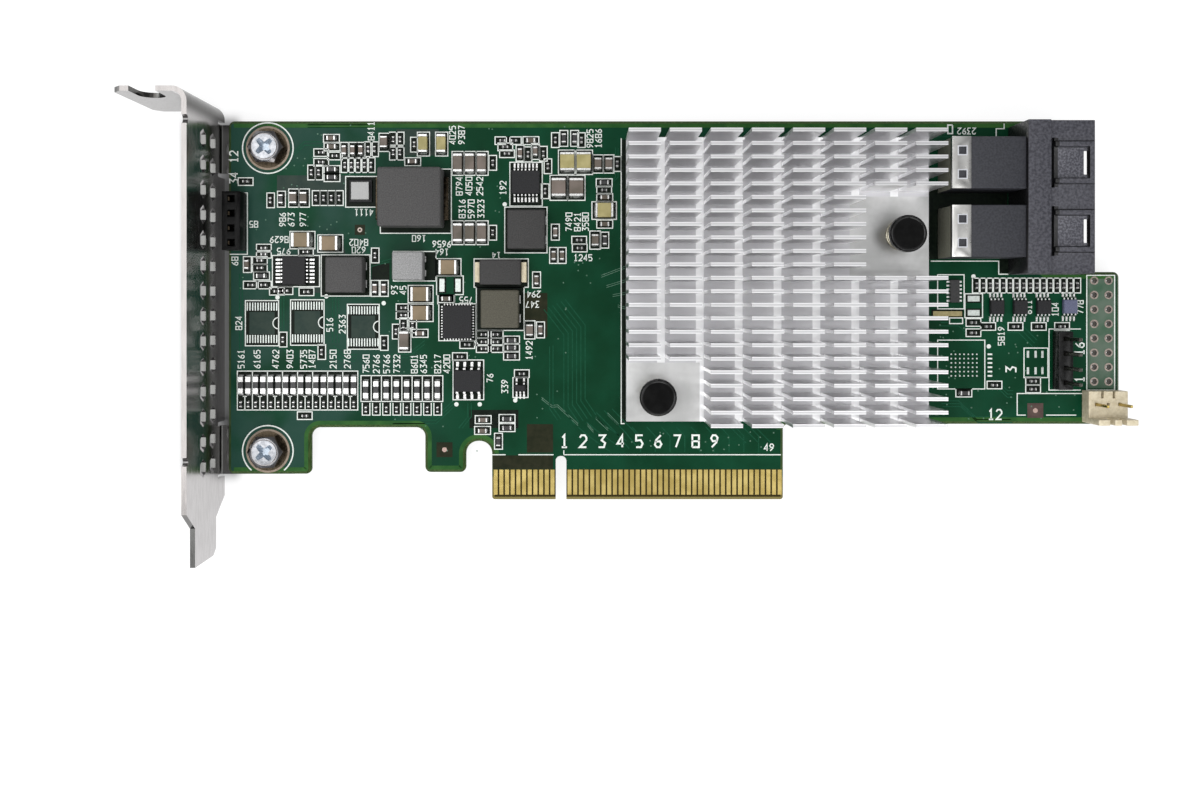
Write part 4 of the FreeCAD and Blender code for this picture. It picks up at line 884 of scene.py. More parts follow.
def push_pins():
    """Moulded pins with a domed head, a barbed tip and a coil spring of round wire under the head."""
    pins = Shape("heatsink_pins", "push_pins")
    coils = Shape("heatsink_springs", "push_pin_springs")
    springs = solids_of("push_pin_springs")
    stem, barb, head_height, dish, segments = 1.3, 1.9, 1.4, 0.6, 56
    wire, turns, steps = 0.25, 4, 128
    for low, high in solids_of("push_pins"):
        x, y = centre(low, high)
        radius, top = (high.x - low.x) / 2, high.z
        below, rim = top - head_height, (radius, top - 0.5)
        tip = [(0, low.z), (0.55, low.z), (0.7, low.z + 0.12), (barb - 0.08, BACK - 0.3), (barb, BACK - 0.18),
               (barb, BACK - 0.08)]
        shank = [(stem, BACK - 0.05), (stem, below), (radius - 0.12, below), (radius, below + 0.12), rim]
        pins.turned(tip + shank, x, y, GLOSS, segments)
        dome = [rim, (radius - 0.05, top - 0.25), (radius - 0.17, top - 0.07), (radius - 0.34, top),
                (radius - 0.5, top - 0.03), (radius - dish, top - 0.1)]
        pins.turned(dome, x, y, GLOSS_RIM, segments)
        pins.ring(x, y, 0, radius - dish, top - 0.3, top - 0.1, GLOSS, segments)
        spring_low, spring_high = min(springs, key=lambda box: abs(centre(*box)[0] - x))
        coil = (spring_high.x - spring_low.x) / 2 - wire
        start, rise = spring_low.z + wire, spring_high.z - spring_low.z - 2 * wire
        path = []
        for step in range(steps + 1):
            angle = 2 * math.pi * turns * step / steps
            level = start + rise * max(0, min(1, (step / steps - 0.1) / 0.8))
            path.append((x + coil * math.cos(angle), y + coil * math.sin(angle), level))
        coils.tube(path, wire, SPRING)
    pins.piece()
    coils.piece()


# Components

# Body of each kind of chip component and the share of its length that one plated end takes
CHIP_BODIES = {
    "film_capacitors": (CERAMIC_CREAM, 0.14), "bulk_capacitors": (CERAMIC_TAN, 0.15),
    "long_capacitors": (CERAMIC_MAUVE, 0.15), "medium_capacitors": (CERAMIC_MAUVE, 0.18),
    "small_capacitors": (CERAMIC_MAUVE, 0.23), "tiny_capacitors": (RESISTOR, 0.26),
    "small_resistors": (RESISTOR, 0.2), "slim_resistors": (RESISTOR, 0.34),
    "tiny_resistors": (RESISTOR, 0.28),
}
# Places of larger capacitors with a pale body among the brown ones
PALE_CAPACITORS = [(-24.2, 62.0), (-20.95, 62.0)]
# Faces of a solder fillet between the plated end of a chip component and its land
FILLET = [(0, 2, 4, 6), (1, 7, 5, 3), (2, 3, 5, 4), (4, 5, 7, 6)]
# Chips with bent leads
LEADED = ("left_regulator", "right_regulator", "flash_memory", "supervisor", "buffer_chips", "sensor_chip")
# Axis and sense of the sides of a package
SIDES = {"left": (0, -1), "right": (0, 1), "low": (1, -1), "high": (1, 1)}
# Finish and rounding of the inductors
INDUCTORS = {
    "main_inductor": (FERRITE, 0.4), "input_inductor": (FERRITE, 0.3), "core_inductor": (FERRITE_DARK, 0.3),
    "memory_inductor": (FERRITE_BROWN, 0.3), "grey_inductor": (FERRITE_GREY, 0.25),
    "end_inductor": (FERRITE_DARK, 0.3),
}
# Finish and rounding of the connectors
CONNECTORS = {
    "port_housing": (WORN, 0.14), "upper_receptacle": (SLATE, 0.16), "lower_receptacle": (SLATE, 0.16),
    "receptacle_clips": (SHELL, 0.06), "bus_header": (DEEP, 0.1), "pin_header": (BLACK, 0.14),
    "lock_header": (CREAM, 0.12),
}
# Finish and chamfer of the pins of the headers
HEADER_PINS = {"pin_header_pins": (DARK_PIN, 0.12), "lock_header_pins": (GOLD, 0.1)}
# Radius and distance below the board of the solder round a pin
PIN_SOLDER = [(0.3, 1.0), (0.36, 0.95), (0.5, 0.5), (0.8, 0.18), (0.95, 0.02)]


def chip(shape, low, high, body, share):
    """A chip component: ceramic between two plated ends that sit in solder on their lands."""
    along = long_axis(low, high)
    across = 1 - along
    length, width, height = high[along] - low[along], high[across] - low[across], high.z - low.z
    middle, half = (low[across] + high[across]) / 2, width * 0.44
    end, skin = length * share, 0.03
    shape.box(placed(along, low[along] + end - skin, low[across] + skin, low.z + PAD),
              placed(along, high[along] - end + skin, high[across] - skin, high.z - skin), body, 0.04)
    for side, tip in ((-1, low[along]), (1, high[along])):
        near, far = sorted((tip, tip - side * end))
        shape.box(placed(along, near, low[across], low.z + PAD / 2),
                  placed(along, far, high[across], high.z), TIN, min(0.08, height / 6))
        toe = tip + side * (0.06 + 0.06 * length)
        curve = ((tip - side * 0.05, PAD), (toe, PAD), (tip + side * 0.04, height * 0.3),
                 (tip - side * 0.05, height * 0.5))
        corners = [placed(along, spot, edge, TOP + level)
                   for spot, level in curve for edge in (middle - half, middle + half)]
        shape.add(corners, FILLET, TIN, True)
        near, far = sorted((tip - side * end * 1.2, toe))
        shape.box(placed(along, near, middle - half, TOP), placed(along, far, middle + half, TOP + PAD), TIN)


def chip_components():
    """Every capacitor and resistor in its place, one piece for each kind."""
    for node, (body, share) in CHIP_BODIES.items():
        shape = Shape(f"soldered_{node}", node)
        for low, high in solids_of(node):
            upright = high.y - low.y > high.x - low.x
            tone = CERAMIC_MAUVE if node == "bulk_capacitors" and upright else body
            if any(low.x < x < high.x and low.y < y < high.y for x, y in PALE_CAPACITORS):
                tone = CERAMIC_CREAM
            chip(shape, low, high, tone, share)
        shape.piece()


def lead(shape, root, outward, reach, shoulder, width):
    """A bent lead of flat strip from the side of a package down to its foot, and its land."""
    thick = 0.15
    profile = [(-0.1, shoulder), (0.26, shoulder), (0.54, thick), (reach, thick), (reach, 0), (0.42, 0),
               (0.16, shoulder - thick), (-0.1, shoulder - thick)]
    sideways = Vector((-outward.y, outward.x))
    rings = []
    for offset in (sideways * width / 2, sideways * -width / 2):
        rings.append([(*(root + outward * run + offset), TOP + PAD + level) for run, level in profile])
    shape.loft(rings, TIN)
    toe, heel = root + outward * (reach + 0.3), root + outward * 0.4
    half = sideways * (width / 2 + 0.03)
    shape.prism([heel - half, toe - half, toe + half, heel + half], TOP, TOP + PAD, TIN)


def moulded(shape, low, high, material, draft=0.12, parting=0.5):
    """A moulded block with a parting line, drafted sides, softened top edges and a dimple in one corner."""
    split, crown = low.z + (high.z - low.z) * parting, 0.08
    upper_draft = draft * 0.7
    plan = rectangle(low.x, low.y, high.x, high.y)
    points = [(x, y, low.z) for x, y in inward(plan, draft)] + [(x, y, split) for x, y in plan]
    shape.add(points, walls(4) + ends(4)[:1], material)
    shape.prism(plan, split, high.z - crown, material, upper_draft)
    shape.prism(inward(plan, upper_draft), high.z - crown, high.z, material, crown)
    mark = 0.09 * min(high.x - low.x, high.y - low.y)
    x, y = low.x + 3 * mark, high.y - 3 * mark
    shape.ring(x, y, mark * 0.75, mark, high.z, high.z + 0.015, material, 20)


def distance_to(body, spot):
    """How far a place on the board lies outside a box."""
    low, high = body
    return sum(max(0, low[axis] - spot[axis], spot[axis] - high[axis]) for axis in (0, 1))


def leaded_packages():
    """Moulded chips with bent leads; the feet follow the places of the CAD leads."""
    bodies = []
    for node in LEADED:
        shape = Shape(f"moulded_{node}", node)
        for low, high in solids_of(node):
            moulded(shape, low, high, EPOXY_BLUE if node == "sensor_chip" else EPOXY)
            bodies.append((low, high))
        shape.piece()
    feet = Shape("bent_leads", "package_leads")
    for low, high in solids_of("package_leads"):
        middle = (low + high) / 2
        body_low, body_high = min(bodies, key=lambda body: distance_to(body, middle))
        shoulder = 0.55 * (body_high.z - body_low.z) + body_low.z - TOP - PAD
        axis = 1 if body_low.x < middle.x < body_high.x else 0
        beyond = middle[axis] > body_high[axis]
        outward, root = Vector((0, 0)), middle.xy
        outward[axis] = 1 if beyond else -1
        root[axis] = body_high[axis] if beyond else body_low[axis]
        width = high[1 - axis] - low[1 - axis]
        lead(feet, root, outward, max(high[axis] - root[axis], root[axis] - low[axis]), shoulder, width)
    feet.piece()


def edge_lands(shape, low, high, side, count, length, width):
    """Lands and terminals along one side of a leadless package."""
    axis, sense = SIDES[side]
    edge = high[axis] if sense > 0 else low[axis]
    near, far = sorted((edge, edge + sense * length))
    start, run = low[1 - axis], high[1 - axis] - low[1 - axis]
    for step in range(count):
        middle = start + run * (step + 0.5) / count
        shape.box(placed(axis, near, middle - width / 2, TOP),
                  placed(axis, far, middle + width / 2, TOP + PAD + 0.05), TIN, 0.02)


def blocks():
    """Inductors, the oscillator, the power stage and the resistor network."""
    for node, (material, rounding) in INDUCTORS.items():
        softened(node, material, rounding, 3)
    inductor_land, inductor_share, stage_land, network_land = 0.2, 0.22, (0.35, 0.22), (0.55, 0.34)
    lands = Shape("block_lands")
    for node in ("input_inductor", "core_inductor", "memory_inductor", "grey_inductor"):
        low, high = box_of(node)
        for side in ("left", "right"):
            edge_lands(lands, low, high, side, 2, inductor_land, (high.y - low.y) * inductor_share)
    low, high = box_of("power_stage")
    for side, count in (("left", 12), ("right", 12), ("low", 10), ("high", 10)):
        edge_lands(lands, low, high, side, count, *stage_land)
    lands.piece()
    stage_chip = Shape("moulded_power_stage", "power_stage")
    moulded(stage_chip, low, high, EPOXY, 0.03, 0.2)
    stage_chip.piece()
    # The main inductor's terminals are dark as painted shade
    for node, material in (("main_inductor_terminals", BRONZE_AND_SHADE), ("end_inductor_terminals", CREAM)):
        softened(node, material, 0.12)
    can = Shape("oscillator_can", "oscillator")
    low, high = box_of("oscillator")
    base, overlap, step = 0.45, 0.05, 0.35
    can.box(low, (high.x, high.y, low.z + base), EPOXY, 0.05)
    lid_low = (low.x + step, low.y + step, low.z + base - overlap)
    can.box(lid_low, (high.x - step, high.y - step, high.z), LID, 0.12)
    can.piece()
    network = Shape("resistor_array", "resistor_network")
    low, high = box_of("resistor_network")
    network.box(low, high, RESISTOR, 0.05)
    for side in ("left", "right"):
        edge_lands(network, low, high, side, 6, *network_land)
    network.piece()


def latch_seams():
    """Dark seams along the latch frames on the housing and round the plates inside them."""
    seams = Shape("latch_seams")
    low, high = box_of("port_housing")
    roof = TOP + HOUSING_HEIGHT
    outer, inner, start, plate_start, plate_end = 3.6, 2.62, 83.45, 83.6, 89.12
    for side in (-1, 1):
        middle = (low.y + high.y + side * PORT_PITCH) / 2
        for edge in (middle - outer, middle + outer):
            seams.stroke([(start, edge), (high.x - 0.1, edge)], 0.18, roof - 0.02, roof + 0.02, DEEP)
        plate = rectangle(plate_start, middle - inner, plate_end, middle + inner)
        seams.stroke(plate, 0.12, roof - 0.22, roof - 0.18, DEEP)
    seams.piece()


def connectors():
    """Port housing, receptacles, clips with bright window rims and the three headers, with softened edges."""
    for node, (material, rounding) in CONNECTORS.items():
        softened(node, material, rounding)
    latch_seams()
    rims = Shape("clip_window_rims")
    half, spacing, inset = 0.74, 2.0, 1.5
    for low, high in solids_of("receptacle_clips"):
        for side in (-spacing, spacing):
            window = rectangle(*about(high.x - inset, (low.y + high.y) / 2 + side, half, half))
            rims.stroke(window, 0.2, high.z - 0.02, high.z + 0.03, CHROME, True)
    rims.piece()
    for node, (material, bevel) in HEADER_PINS.items():
        shape = Shape(f"drawn_{node}", node)
        for low, high in solids_of(node):
            shape.box(low, high, material, bevel)
            fillet = [(radius, BACK - depth) for radius, depth in PIN_SOLDER]
            shape.turned(fillet, *centre(low, high), TIN, 20)
        shape.piece()


# Print, lands and tracks on the board

# Lines of each numeral in a square
STROKES = {
    "0": [[(0, 0), (1, 0), (1, 1), (0, 1), (0, 0)]],
    "1": [[(0.2, 0.8), (0.5, 1), (0.5, 0)], [(0.1, 0), (0.9, 0)]],
    "2": [[(0, 0.8), (0.25, 1), (0.75, 1), (1, 0.8), (1, 0.6), (0, 0), (1, 0)]],
    "3": [[(0, 1), (1, 1), (0.45, 0.58), (1, 0.35), (0.8, 0), (0, 0)]],
    "4": [[(0.75, 0), (0.75, 1), (0, 0.3), (1, 0.3)]],
    "5": [[(1, 1), (0, 1), (0, 0.55), (0.7, 0.6), (1, 0.3), (0.75, 0), (0, 0)]],
    "6": [[(0.9, 1), (0.2, 0.6), (0, 0.2), (0.3, 0), (0.75, 0), (1, 0.25), (0.75, 0.5), (0.1, 0.45)]],
    "7": [[(0, 1), (1, 1), (0.35, 0)]],
    "8": [[(0, 0), (1, 0), (1, 0.5), (0, 0.5), (0, 0)], [(0, 0.5), (0, 1), (1, 1), (1, 0.5)]],
    "9": [[(0.9, 0.55), (0.25, 0.5), (0, 0.75), (0.25, 1), (0.7, 1), (1, 0.8), (0.8, 0.4), (0.1, 0)]],
}
# Height, middle, turn in degrees and count of the numerals beside the components
NUMERAL_HEIGHT = 1.05
NUMBERS = [
    (-33.4, 64.9, 90, 4), (-49.0, 49.3, 90, 3), (-47.5, 49.3, 90, 3), (-45.4, 49.3, 90, 3),
    (-49.6, 45.8, 180, 4), (-35.6, 45.3, 180, 4), (-35.6, 43.95, 180, 3), (-48.8, 43.75, 180, 3),
    (-54.1, 48.5, 180, 2), (-34.7, 50.6, 180, 4), (-19.1, 64.2, 90, 4), (-17.5, 64.2, 90, 4),
    (-17.9, 55.2, 90, 4), (-16.2, 55.2, 90, 4), (-14.3, 55.2, 90, 4), (-17.4, 51.2, 90, 4),
    (-15.8, 51.2, 90, 4), (-14.1, 51.2, 90, 4), (-10.2, 54.9, 90, 3), (5.1, 63.6, 90, 4),
    (6.6, 63.6, 90, 4), (1.4, 48.9, 90, 4), (2.9, 48.9, 90, 4), (4.3, 48.9, 90, 4), (3.9, 42.6, 0, 4),
    (-21.0, 45.0, 180, 4), (-21.0, 43.6, 180, 3), (-25.0, 46.0, 180, 3), (-11.4, 43.0, 180, 2),
    (-4.8, 36.2, 180, 3), (-5.0, 34.4, 180, 3), (-5.6, 26.3, 90, 4), (-25.8, 23.9, 90, 4),
    (-24.2, 23.9, 90, 4), (-21.7, 23.9, 90, 4), (-20.1, 23.9, 90, 4), (-12.5, 21.4, 90, 2),
    (-9.9, 19.9, 90, 3), (-16.7, 35.15, 180, 3), (77.5, 28.8, 90, 4), (82.3, 33.9, 90, 3),
    (87.0, 33.5, 90, 3), (91.4, 33.9, 90, 3), (71.4, 64.9, 180, 4), (-57.4, 42.0, 90, 2),
    (-29.3, 36.9, 90, 2), (-27.8, 36.9, 90, 2), (-40.7, 30.8, 90, 3), (-38.5, 30.9, 90, 4),
    (-56.7, 31.1, 90, 3),
]
NUMBERS += [(x, 24.75, 90, 4) for x in (-56.3, -53.5, -50.2, -47.7, -45.3, -43.8, -40.1, -37.6)]
NUMBERS += [(x, 23.9, 90, 4) for x in (-34.3, -32.5, -30.7, -28.9)]
# Middle, turn, height and text of the larger numerals
LARGE_NUMBERS = [(-57.6, 60.4, 90, 1.4, "12"), (-57.6, 56.6, 90, 1.4, "34"), (79.2, 22.9, 90, 1.7, "3"),
                 (91.3, 26.6, 90, 1.5, "16"), (91.3, 21.2, 90, 1.5, "1"), (76.4, 15.0, 0, 1.7, "12"),
                 (68.5, 65.2, 180, 1.5, "0"), (36.6, 9.2, 0, 1.2, "49")]
LARGE_NUMBERS += [(0.6 + 3.3 * step, 10.3, 0, 2.1, str(step + 1)) for step in range(9)]
# Space beside and beyond each kind of chip component, inside its printed frame
FRAME_MARGINS = {
    "film_capacitors": (0.3, 0.55), "bulk_capacitors": (0.28, 0.6), "long_capacitors": (0.28, 0.5),
    "medium_capacitors": (0.3, 0.6), "small_capacitors": (0.3, 0.6), "tiny_capacitors": (0.42, 0.8),
    "small_resistors": (0.3, 0.6),
}
# Limits of the frames round the larger components, and of those without dark mask
BLOCK_FRAMES = [
    (-42.2, 35.85, -33.6, 43.1), (-9.9, 43.45, -2.45, 51.5), (-14.9, 29.8, -6.5, 37.4),
    (-29.5, 38.5, -22.0, 43.7), (-15.3, 37.4, -5.75, 42.4), (-21.5, 28.0, -14.95, 34.5),
    (-37.9, 51.5, -31.9, 56.9), (-50.8, 37.5, -42.5, 43.0), (-9.0, 51.7, -3.3, 59.4),
    (-19.0, 17.6, -13.6, 24.6), (-8.45, 18.0, -5.8, 21.5), (-31.8, 46.9, -19.3, 58.2),
]
FRAMES = [
    (92.55, 19.3, 97.45, 39.5), (66.3, 19.5, 74.6, 28.1), (71.1, 32.05, 74.2, 36.25),
    (81.5, 21.5, 85.7, 26.7), (-21.9, 36.1, -17.2, 39.4), (-21.7, 34.5, -18.75, 36.1),
    (68.4, 31.0, 70.7, 32.0), (66.3, 33.6, 70.95, 39.6),
]
# Limits of empty chip places and of empty lands, and middles of the dots at first leads
EMPTY_CHIPS = [(-55.55, 27.1, -49.7, 35.05), (-47.6, 27.2, -41.7, 35.2), (-37.6, 26.5, -32.0, 34.4)]
EMPTY_LANDS = [(-21.4, 36.6, -20.5, 38.9), (-18.6, 36.6, -17.65, 38.9), (-21.1, 35.0, -19.3, 35.75),
               (71.6, 32.4, 73.7, 33.4), (71.6, 34.9, 73.7, 35.9)]
FIRST_LEAD_DOTS = [(-49.9, 35.6), (-41.3, 35.8), (-31.2, 34.6), (-18.4, 16.8), (-14.3, 16.8), (-8.05, 17.5),
                   (-14.95, 27.4), (75.3, 27.0), (72.6, 39.3), (-9.9, 52.0)]
# First place and steps of an empty grid of round lands
BALL_GRID = ((68.7, 21.8), (0.75, 0.76))
# Places of six lands in an empty frame, and the gilt bar with the dark mask round it
TRIO_LANDS = [(x, y) for x in (82.2, 83.55, 84.75) for y in (22.7, 25.6)]
GILT_BAR, GILT_GROUND = (65.5, 32.3, 70.6, 33.2), (65.2, 32.05, 70.8, 33.5)
# Alignment targets and the mask round them, and a bare test land
TARGETS = [(-20.5, 8.8, MASK_BROWN), (83.5, 15.7, MASK_RED)]
TEST_LAND = (-35.4, 47.5)
# Areas of mask with another tone; the dark areas between and beside the receptacles, beside the heatsink's
# left edge and right of the main inductor are painted shade
TONED_AREAS = [
    (MASK_GREY, (-50.0, 52.9, -37.9, 57.1)), (MASK_GREY, (-46.0, 36.4, -38.0, 44.0)),
    (MASK_GREY, (-29.0, 60.6, -21.5, 65.2)), (DARK_MASK_AND_SHADE, (-16.1, 12.6, -7.5, 15.8)),
    # Painted shade right of the main inductor
    (DARK_MASK_AND_SHADE, (-33.3, 38.65, -30.2, 41.6)),
    (MASK_BROWN, (-6.0, 8.3, -1.4, 13.3)), (MASK_BROWN, (-6.4, 28.6, -2.4, 36.4)),
    # The dark areas from X 64.0 to 78.6, from X 63.6 to 68.2 and from X 10.7 to 12.4 are painted shade beside
    # the receptacles and the heatsink
    (MASK_BROWN, (-12.0, 5.4, -1.4, 7.8)), (DARK_MASK_AND_SHADE, (64.0, 50.8, 78.6, 55.2)),
    (DARK_MASK_AND_SHADE, (77.2, 39.9, 82.6, 43.0)), (DARK_MASK_AND_SHADE, (63.6, 42.3, 68.2, 50.9)),
    (DARK_MASK_AND_SHADE, (10.7, 13.6, 12.4, 63.4)),
]
# Printed lines
LINES = [
    [(-58.3, 54.0), (-55.2, 54.0), (-55.2, 43.2), (-58.3, 43.2)],
    [(10.6, 63.6), (10.6, 13.4), (11.2, 13.4)],
    [(65.1, 42.0), (77.05, 42.0), (77.05, 39.7), (82.85, 39.7)],
    [(78.0, 66.2), (78.0, 65.3), (76.6, 65.3), (76.6, 64.0)],
    [(81.8, 14.9), (80.3, 14.9), (80.3, 18.7), (98.0, 18.7)],
    [(85.4, 14.9), (90.7, 14.9)],
    [(-12.1, 7.92), (-9.75, 7.92)], [(-7.5, 7.92), (-1.3, 7.92)], [(0.5, 7.92), (38.7, 7.92)],
    [(0.5, 7.92), (0.5, 8.7)],
    [(91.5, 30.05), (85.9, 30.05), (85.9, 19.3), (91.5, 19.3)],
]
# Count of the slim resistors in the left block
LEFT_RESISTORS = 16
# Path of the first track, how many run side by side and the step between them
TRACKS = [
    ([(3.0, 12.8), (4.6, 11.4), (8.6, 8.5)], 3, (1.5, 0.9)),
    ([(6.2, 15.4), (9.9, 11.6), (12.0, 9.0)], 3, (1.4, 0.3)),
    ([(-3.0, 33.5), (0.5, 29.0), (0.5, 16.0), (2.4, 13.2)], 6, (0.75, 0.35)),
    ([(12.5, 12.8), (14.0, 11.2), (14.0, 8.4)], 9, (2.6, 0.0)),
    ([(-2.0, 27.0), (-2.0, 16.0), (-0.6, 14.0)], 2, (0.6, 0.2)),
    ([(-30.0, 25.6), (-27.0, 25.6), (-24.0, 28.0)], 2, (0.0, -0.6)),
    ([(-40.5, 26.0), (-38.6, 24.4), (-36.2, 24.4)], 3, (0.2, 0.55)),
    ([(-48.8, 36.6), (-48.8, 27.0), (-47.8, 25.8)], 2, (-0.5, 0.0)),
    ([(-40.2, 36.0), (-40.2, 27.6)], 3, (0.55, 0.0)),
    ([(-56.6, 39.8), (-56.6, 24.8)], 2, (0.5, 0.0)),
    ([(76.6, 31.0), (78.2, 29.4), (80.6, 29.4), (83.0, 27.0)], 3, (0.4, 0.55)),
    ([(66.8, 17.4), (70.0, 17.4), (73.0, 14.6), (79.0, 14.6)], 3, (0.2, -0.5)),
    ([(76.6, 20.0), (78.6, 18.0), (79.6, 18.0)], 3, (0.0, 0.6)),
    ([(86.6, 27.5), (88.0, 29.0), (88.0, 31.0)], 3, (0.6, 0.0)),
    ([(66.6, 30.6), (70.0, 30.6), (72.0, 28.8)], 2, (0.3, 0.6)),
    ([(-18.0, 12.6), (-16.4, 14.6), (-16.4, 17.0)], 2, (0.6, 0.0)),
    ([(-29.6, 13.4), (-22.0, 13.4), (-18.8, 16.4)], 3, (0.0, 0.6)),
    ([(-34.4, 43.5), (-33.6, 41.0), (-30.2, 41.9)], 2, (0.3, 0.5)),
    ([(8.8, 56.0), (9.6, 56.8), (9.6, 62.0)], 2, (0.45, 0.0)),
    ([(-47.0, 60.6), (-45.2, 62.4), (-42.0, 62.4)], 2, (0.0, 0.6)),
    ([(-44.6, 66.0), (-34.0, 66.0)], 2, (0.0, -0.5)),
    ([(65.6, 63.9), (72.6, 63.9)], 2, (0.0, 0.5)),
    ([(37.0, 10.0), (34.4, 12.6)], 3, (-2.2, 0.0)),
]
# Paths of bright pairs of tracks that run under the heatsink
LIGHT_TRACKS = [[(7.1, 39.5), (11.3, 41.1)], [(8.0, 37.7), (11.3, 38.7)], [(9.1, 36.1), (11.3, 36.5)],
                [(10.0, 34.3), (11.3, 33.9)], [(4.65, 13.4), (5.7, 12.2)], [(6.1, 14.6), (8.3, 12.5)],
                [(8.2, 15.3), (10.2, 13.3)], [(-3.4, 18.0), (-1.6, 16.6), (-0.6, 16.7), (3.0, 13.4)]]
# Corners of areas with covered holes, and how many are tried in each
VIA_ZONES = [
    (-57, 36, -49, 50, 14), (-50, 52, -30, 66, 46), (-46, 46, -32, 52, 16), (-30, 8, -2, 30, 26),
    (-5, 14, 1, 44, 14), (1, 38, 9, 46, 16), (65, 14, 92, 31, 60), (-20, 46, 10, 66, 30),
    (-32, 24, -8, 45, 26), (12, 8.6, 38, 12.0, 22),
]


def number(ink, text, x, y, height, turn):
    """Plain numerals printed about a point."""
    along, up = directions(turn)
    width, step = 0.55 * height, 0.82 * height
    start = -(step * (len(text) - 1) + width) / 2
    for place, numeral in enumerate(text):
        for path in STROKES[numeral]:
            spots = [Vector((x, y)) + along * (start + place * step + u * width) + up * ((v - 0.5) * height)
                     for u, v in path]
            ink.stroke(spots, 0.15 * height, TOP + PATCH, TOP + INK, SILK)


def line(ink, *path, width=LINE, closed=False):
    """A white line on the board."""
    ink.stroke(list(path), width, TOP, TOP + INK, SILK, closed)


def framed(ink, ground, limits, level=PATCH):
    """A white frame on the board, with dark mask inside it where a ground is given."""
    line(ink, *rectangle(*limits), closed=True)
    if ground:
        ground.flat(limits, level, DARK_MASK_AND_SHADE)


def frames_round_components(ink, ground):
    """A white frame round each component, on mask without copper."""
    boxes = list(BLOCK_FRAMES)
    for node, margins in FRAME_MARGINS.items():
        for low, high in solids_of(node):
            grown = margins if long_axis(low, high) else margins[::-1]
            boxes.append(wider((low.x, low.y, high.x, high.y), *grown))
    for limits in boxes:
        framed(ink, ground, limits)


def resistor_blocks(ink, ground):
    """White lines round and between the two blocks of slim resistors near the contact edge."""
    columns = sorted(centre(*box)[0] for box in solids_of("slim_resistors"))
    left, right = columns[:LEFT_RESISTORS], columns[LEFT_RESISTORS:]
    half = (left[1] - left[0]) / 2
    low_y, stem_y, high_y, bar = 15.8, 18.2, 22.65, 0.35
    framed(ink, ground, (left[0] - half, low_y, left[-1] + half, high_y))
    for step in range(1, LEFT_RESISTORS):
        x = left[0] + (2 * step - 1) * half
        line(ink, (x, low_y), (x, stem_y if step % 2 else high_y))
        if step % 2:
            line(ink, (x - bar, stem_y), (x + bar, stem_y))
    half = (right[1] - right[0]) / 2
    foot_y, mouth_y, low_y, high_y, cell = 14.9, 17.05, 17.3, 21.85, 0.67
    framed(ink, ground, (right[0] - half, low_y, right[-1] + half, high_y))
    for x in right:
        if x < right[-1]:
            line(ink, (x + half, low_y), (x + half, high_y))
        line(ink, (x - cell, mouth_y), (x - cell, foot_y), (x + cell, foot_y), (x + cell, mouth_y))
        ground.flat((x - cell, foot_y, x + cell, low_y), PATCH, DARK_MASK_AND_SHADE)


def empty_places(ink, ground, lands):
    """Lands left without a component, their frames and the marks at their first lead."""
    leads, pitch, lead_half, trio_half = 12, 0.47, (0.11, 0.7), (0.21, 0.62)
    dot, ball, dash, dash_width = 0.38, 0.14, (75.1, 75.9), 0.28
    for limits in EMPTY_CHIPS:
        framed(ink, ground, limits, SHADE)
        ground.flat(wider(limits, -0.7, -2.0), SHADE + 0.004, MASK_GREY)
        low_x, low_y, high_x, high_y = limits
        for step in range(leads):
            x = (low_x + high_x) / 2 + (step - (leads - 1) / 2) * pitch
            for y in (low_y + 1.2, high_y - 1.05):
                lands.flat(about(x, y, *lead_half), PAD, LAND, 0.012)
        turns = [math.radians(turn) for turn in range(-90, 91, 15)]
        line(ink, *[(high_x - math.cos(turn), (low_y + high_y) / 2 + math.sin(turn)) for turn in turns])
    for x, y in FIRST_LEAD_DOTS:
        ink.flat_ring(x, y, 0, dot, INK, SILK, 20)
    (ball_x, ball_y), (step_x, step_y) = BALL_GRID
    for row in range(6):
        y = ball_y + step_y * row
        for column in range(7):
            lands.flat_ring(ball_x + step_x * column, y, 0, ball, PAD, LAND, 12)
        line(ink, *[(x, y) for x in dash], width=dash_width)
    for limits in EMPTY_LANDS:
        ground.flat(wider(limits, 0.3, 0.25), PATCH, DARK_MASK_AND_SHADE)
        lands.flat(limits, PAD, LAND, 0.02)
    for x, y in TRIO_LANDS:
        lands.flat(about(x, y, *trio_half), PAD, LAND, 0.02)
    ground.flat(GILT_GROUND, PATCH, DARK_MASK_AND_SHADE)
    lands.flat(GILT_BAR, PAD, GILT, 0.02)


def marks(ground, lands):
    """Alignment targets and a bare test land."""
    for x, y, around in TARGETS:
        ground.flat(about(x, y, 1.4, 1.3), SHADE, around)
        lands.flat_ring(x, y, 0, 0.42, PAD, TARGET, 24)
    x, y = TEST_LAND
    ground.flat(about(x, y, 0.9, 0.9), SHADE, MASK_BROWN)
    lands.flat_ring(x, y, 0.2, 0.42, PAD, RING, 20)


def screw_lands(ink, lands):
    """A plated land, dark with painted shade near the head, and a white ring round each screw, cut off where
    the board ends.
    """
    left_end, clear = -50, 0.15
    hole, inner, outer, ring, ring_width = 1.7, 3.5, 3.85, 4.45, 0.22
    edge = min(spot.y for spot in board_loops()[0] if spot.x < left_end) + clear
    for low, high in solids_of("bracket_screws"):
        x, y = centre(low, high)
        # The inner part of each land is painted shade round the screw head
        lands.flat_ring(x, y, hole, inner, PAD, BRONZE_AND_SHADE, 72)
        lands.flat_ring(x, y, inner, outer, PAD, SCREW_LAND, 72)
        turns = [math.radians(-90 + step * 5) for step in range(73)]
        spots = [(x + ring * math.cos(turn), y + ring * math.sin(turn)) for turn in turns]
        line(ink, *[spot for spot in spots if spot[1] > edge], width=ring_width)


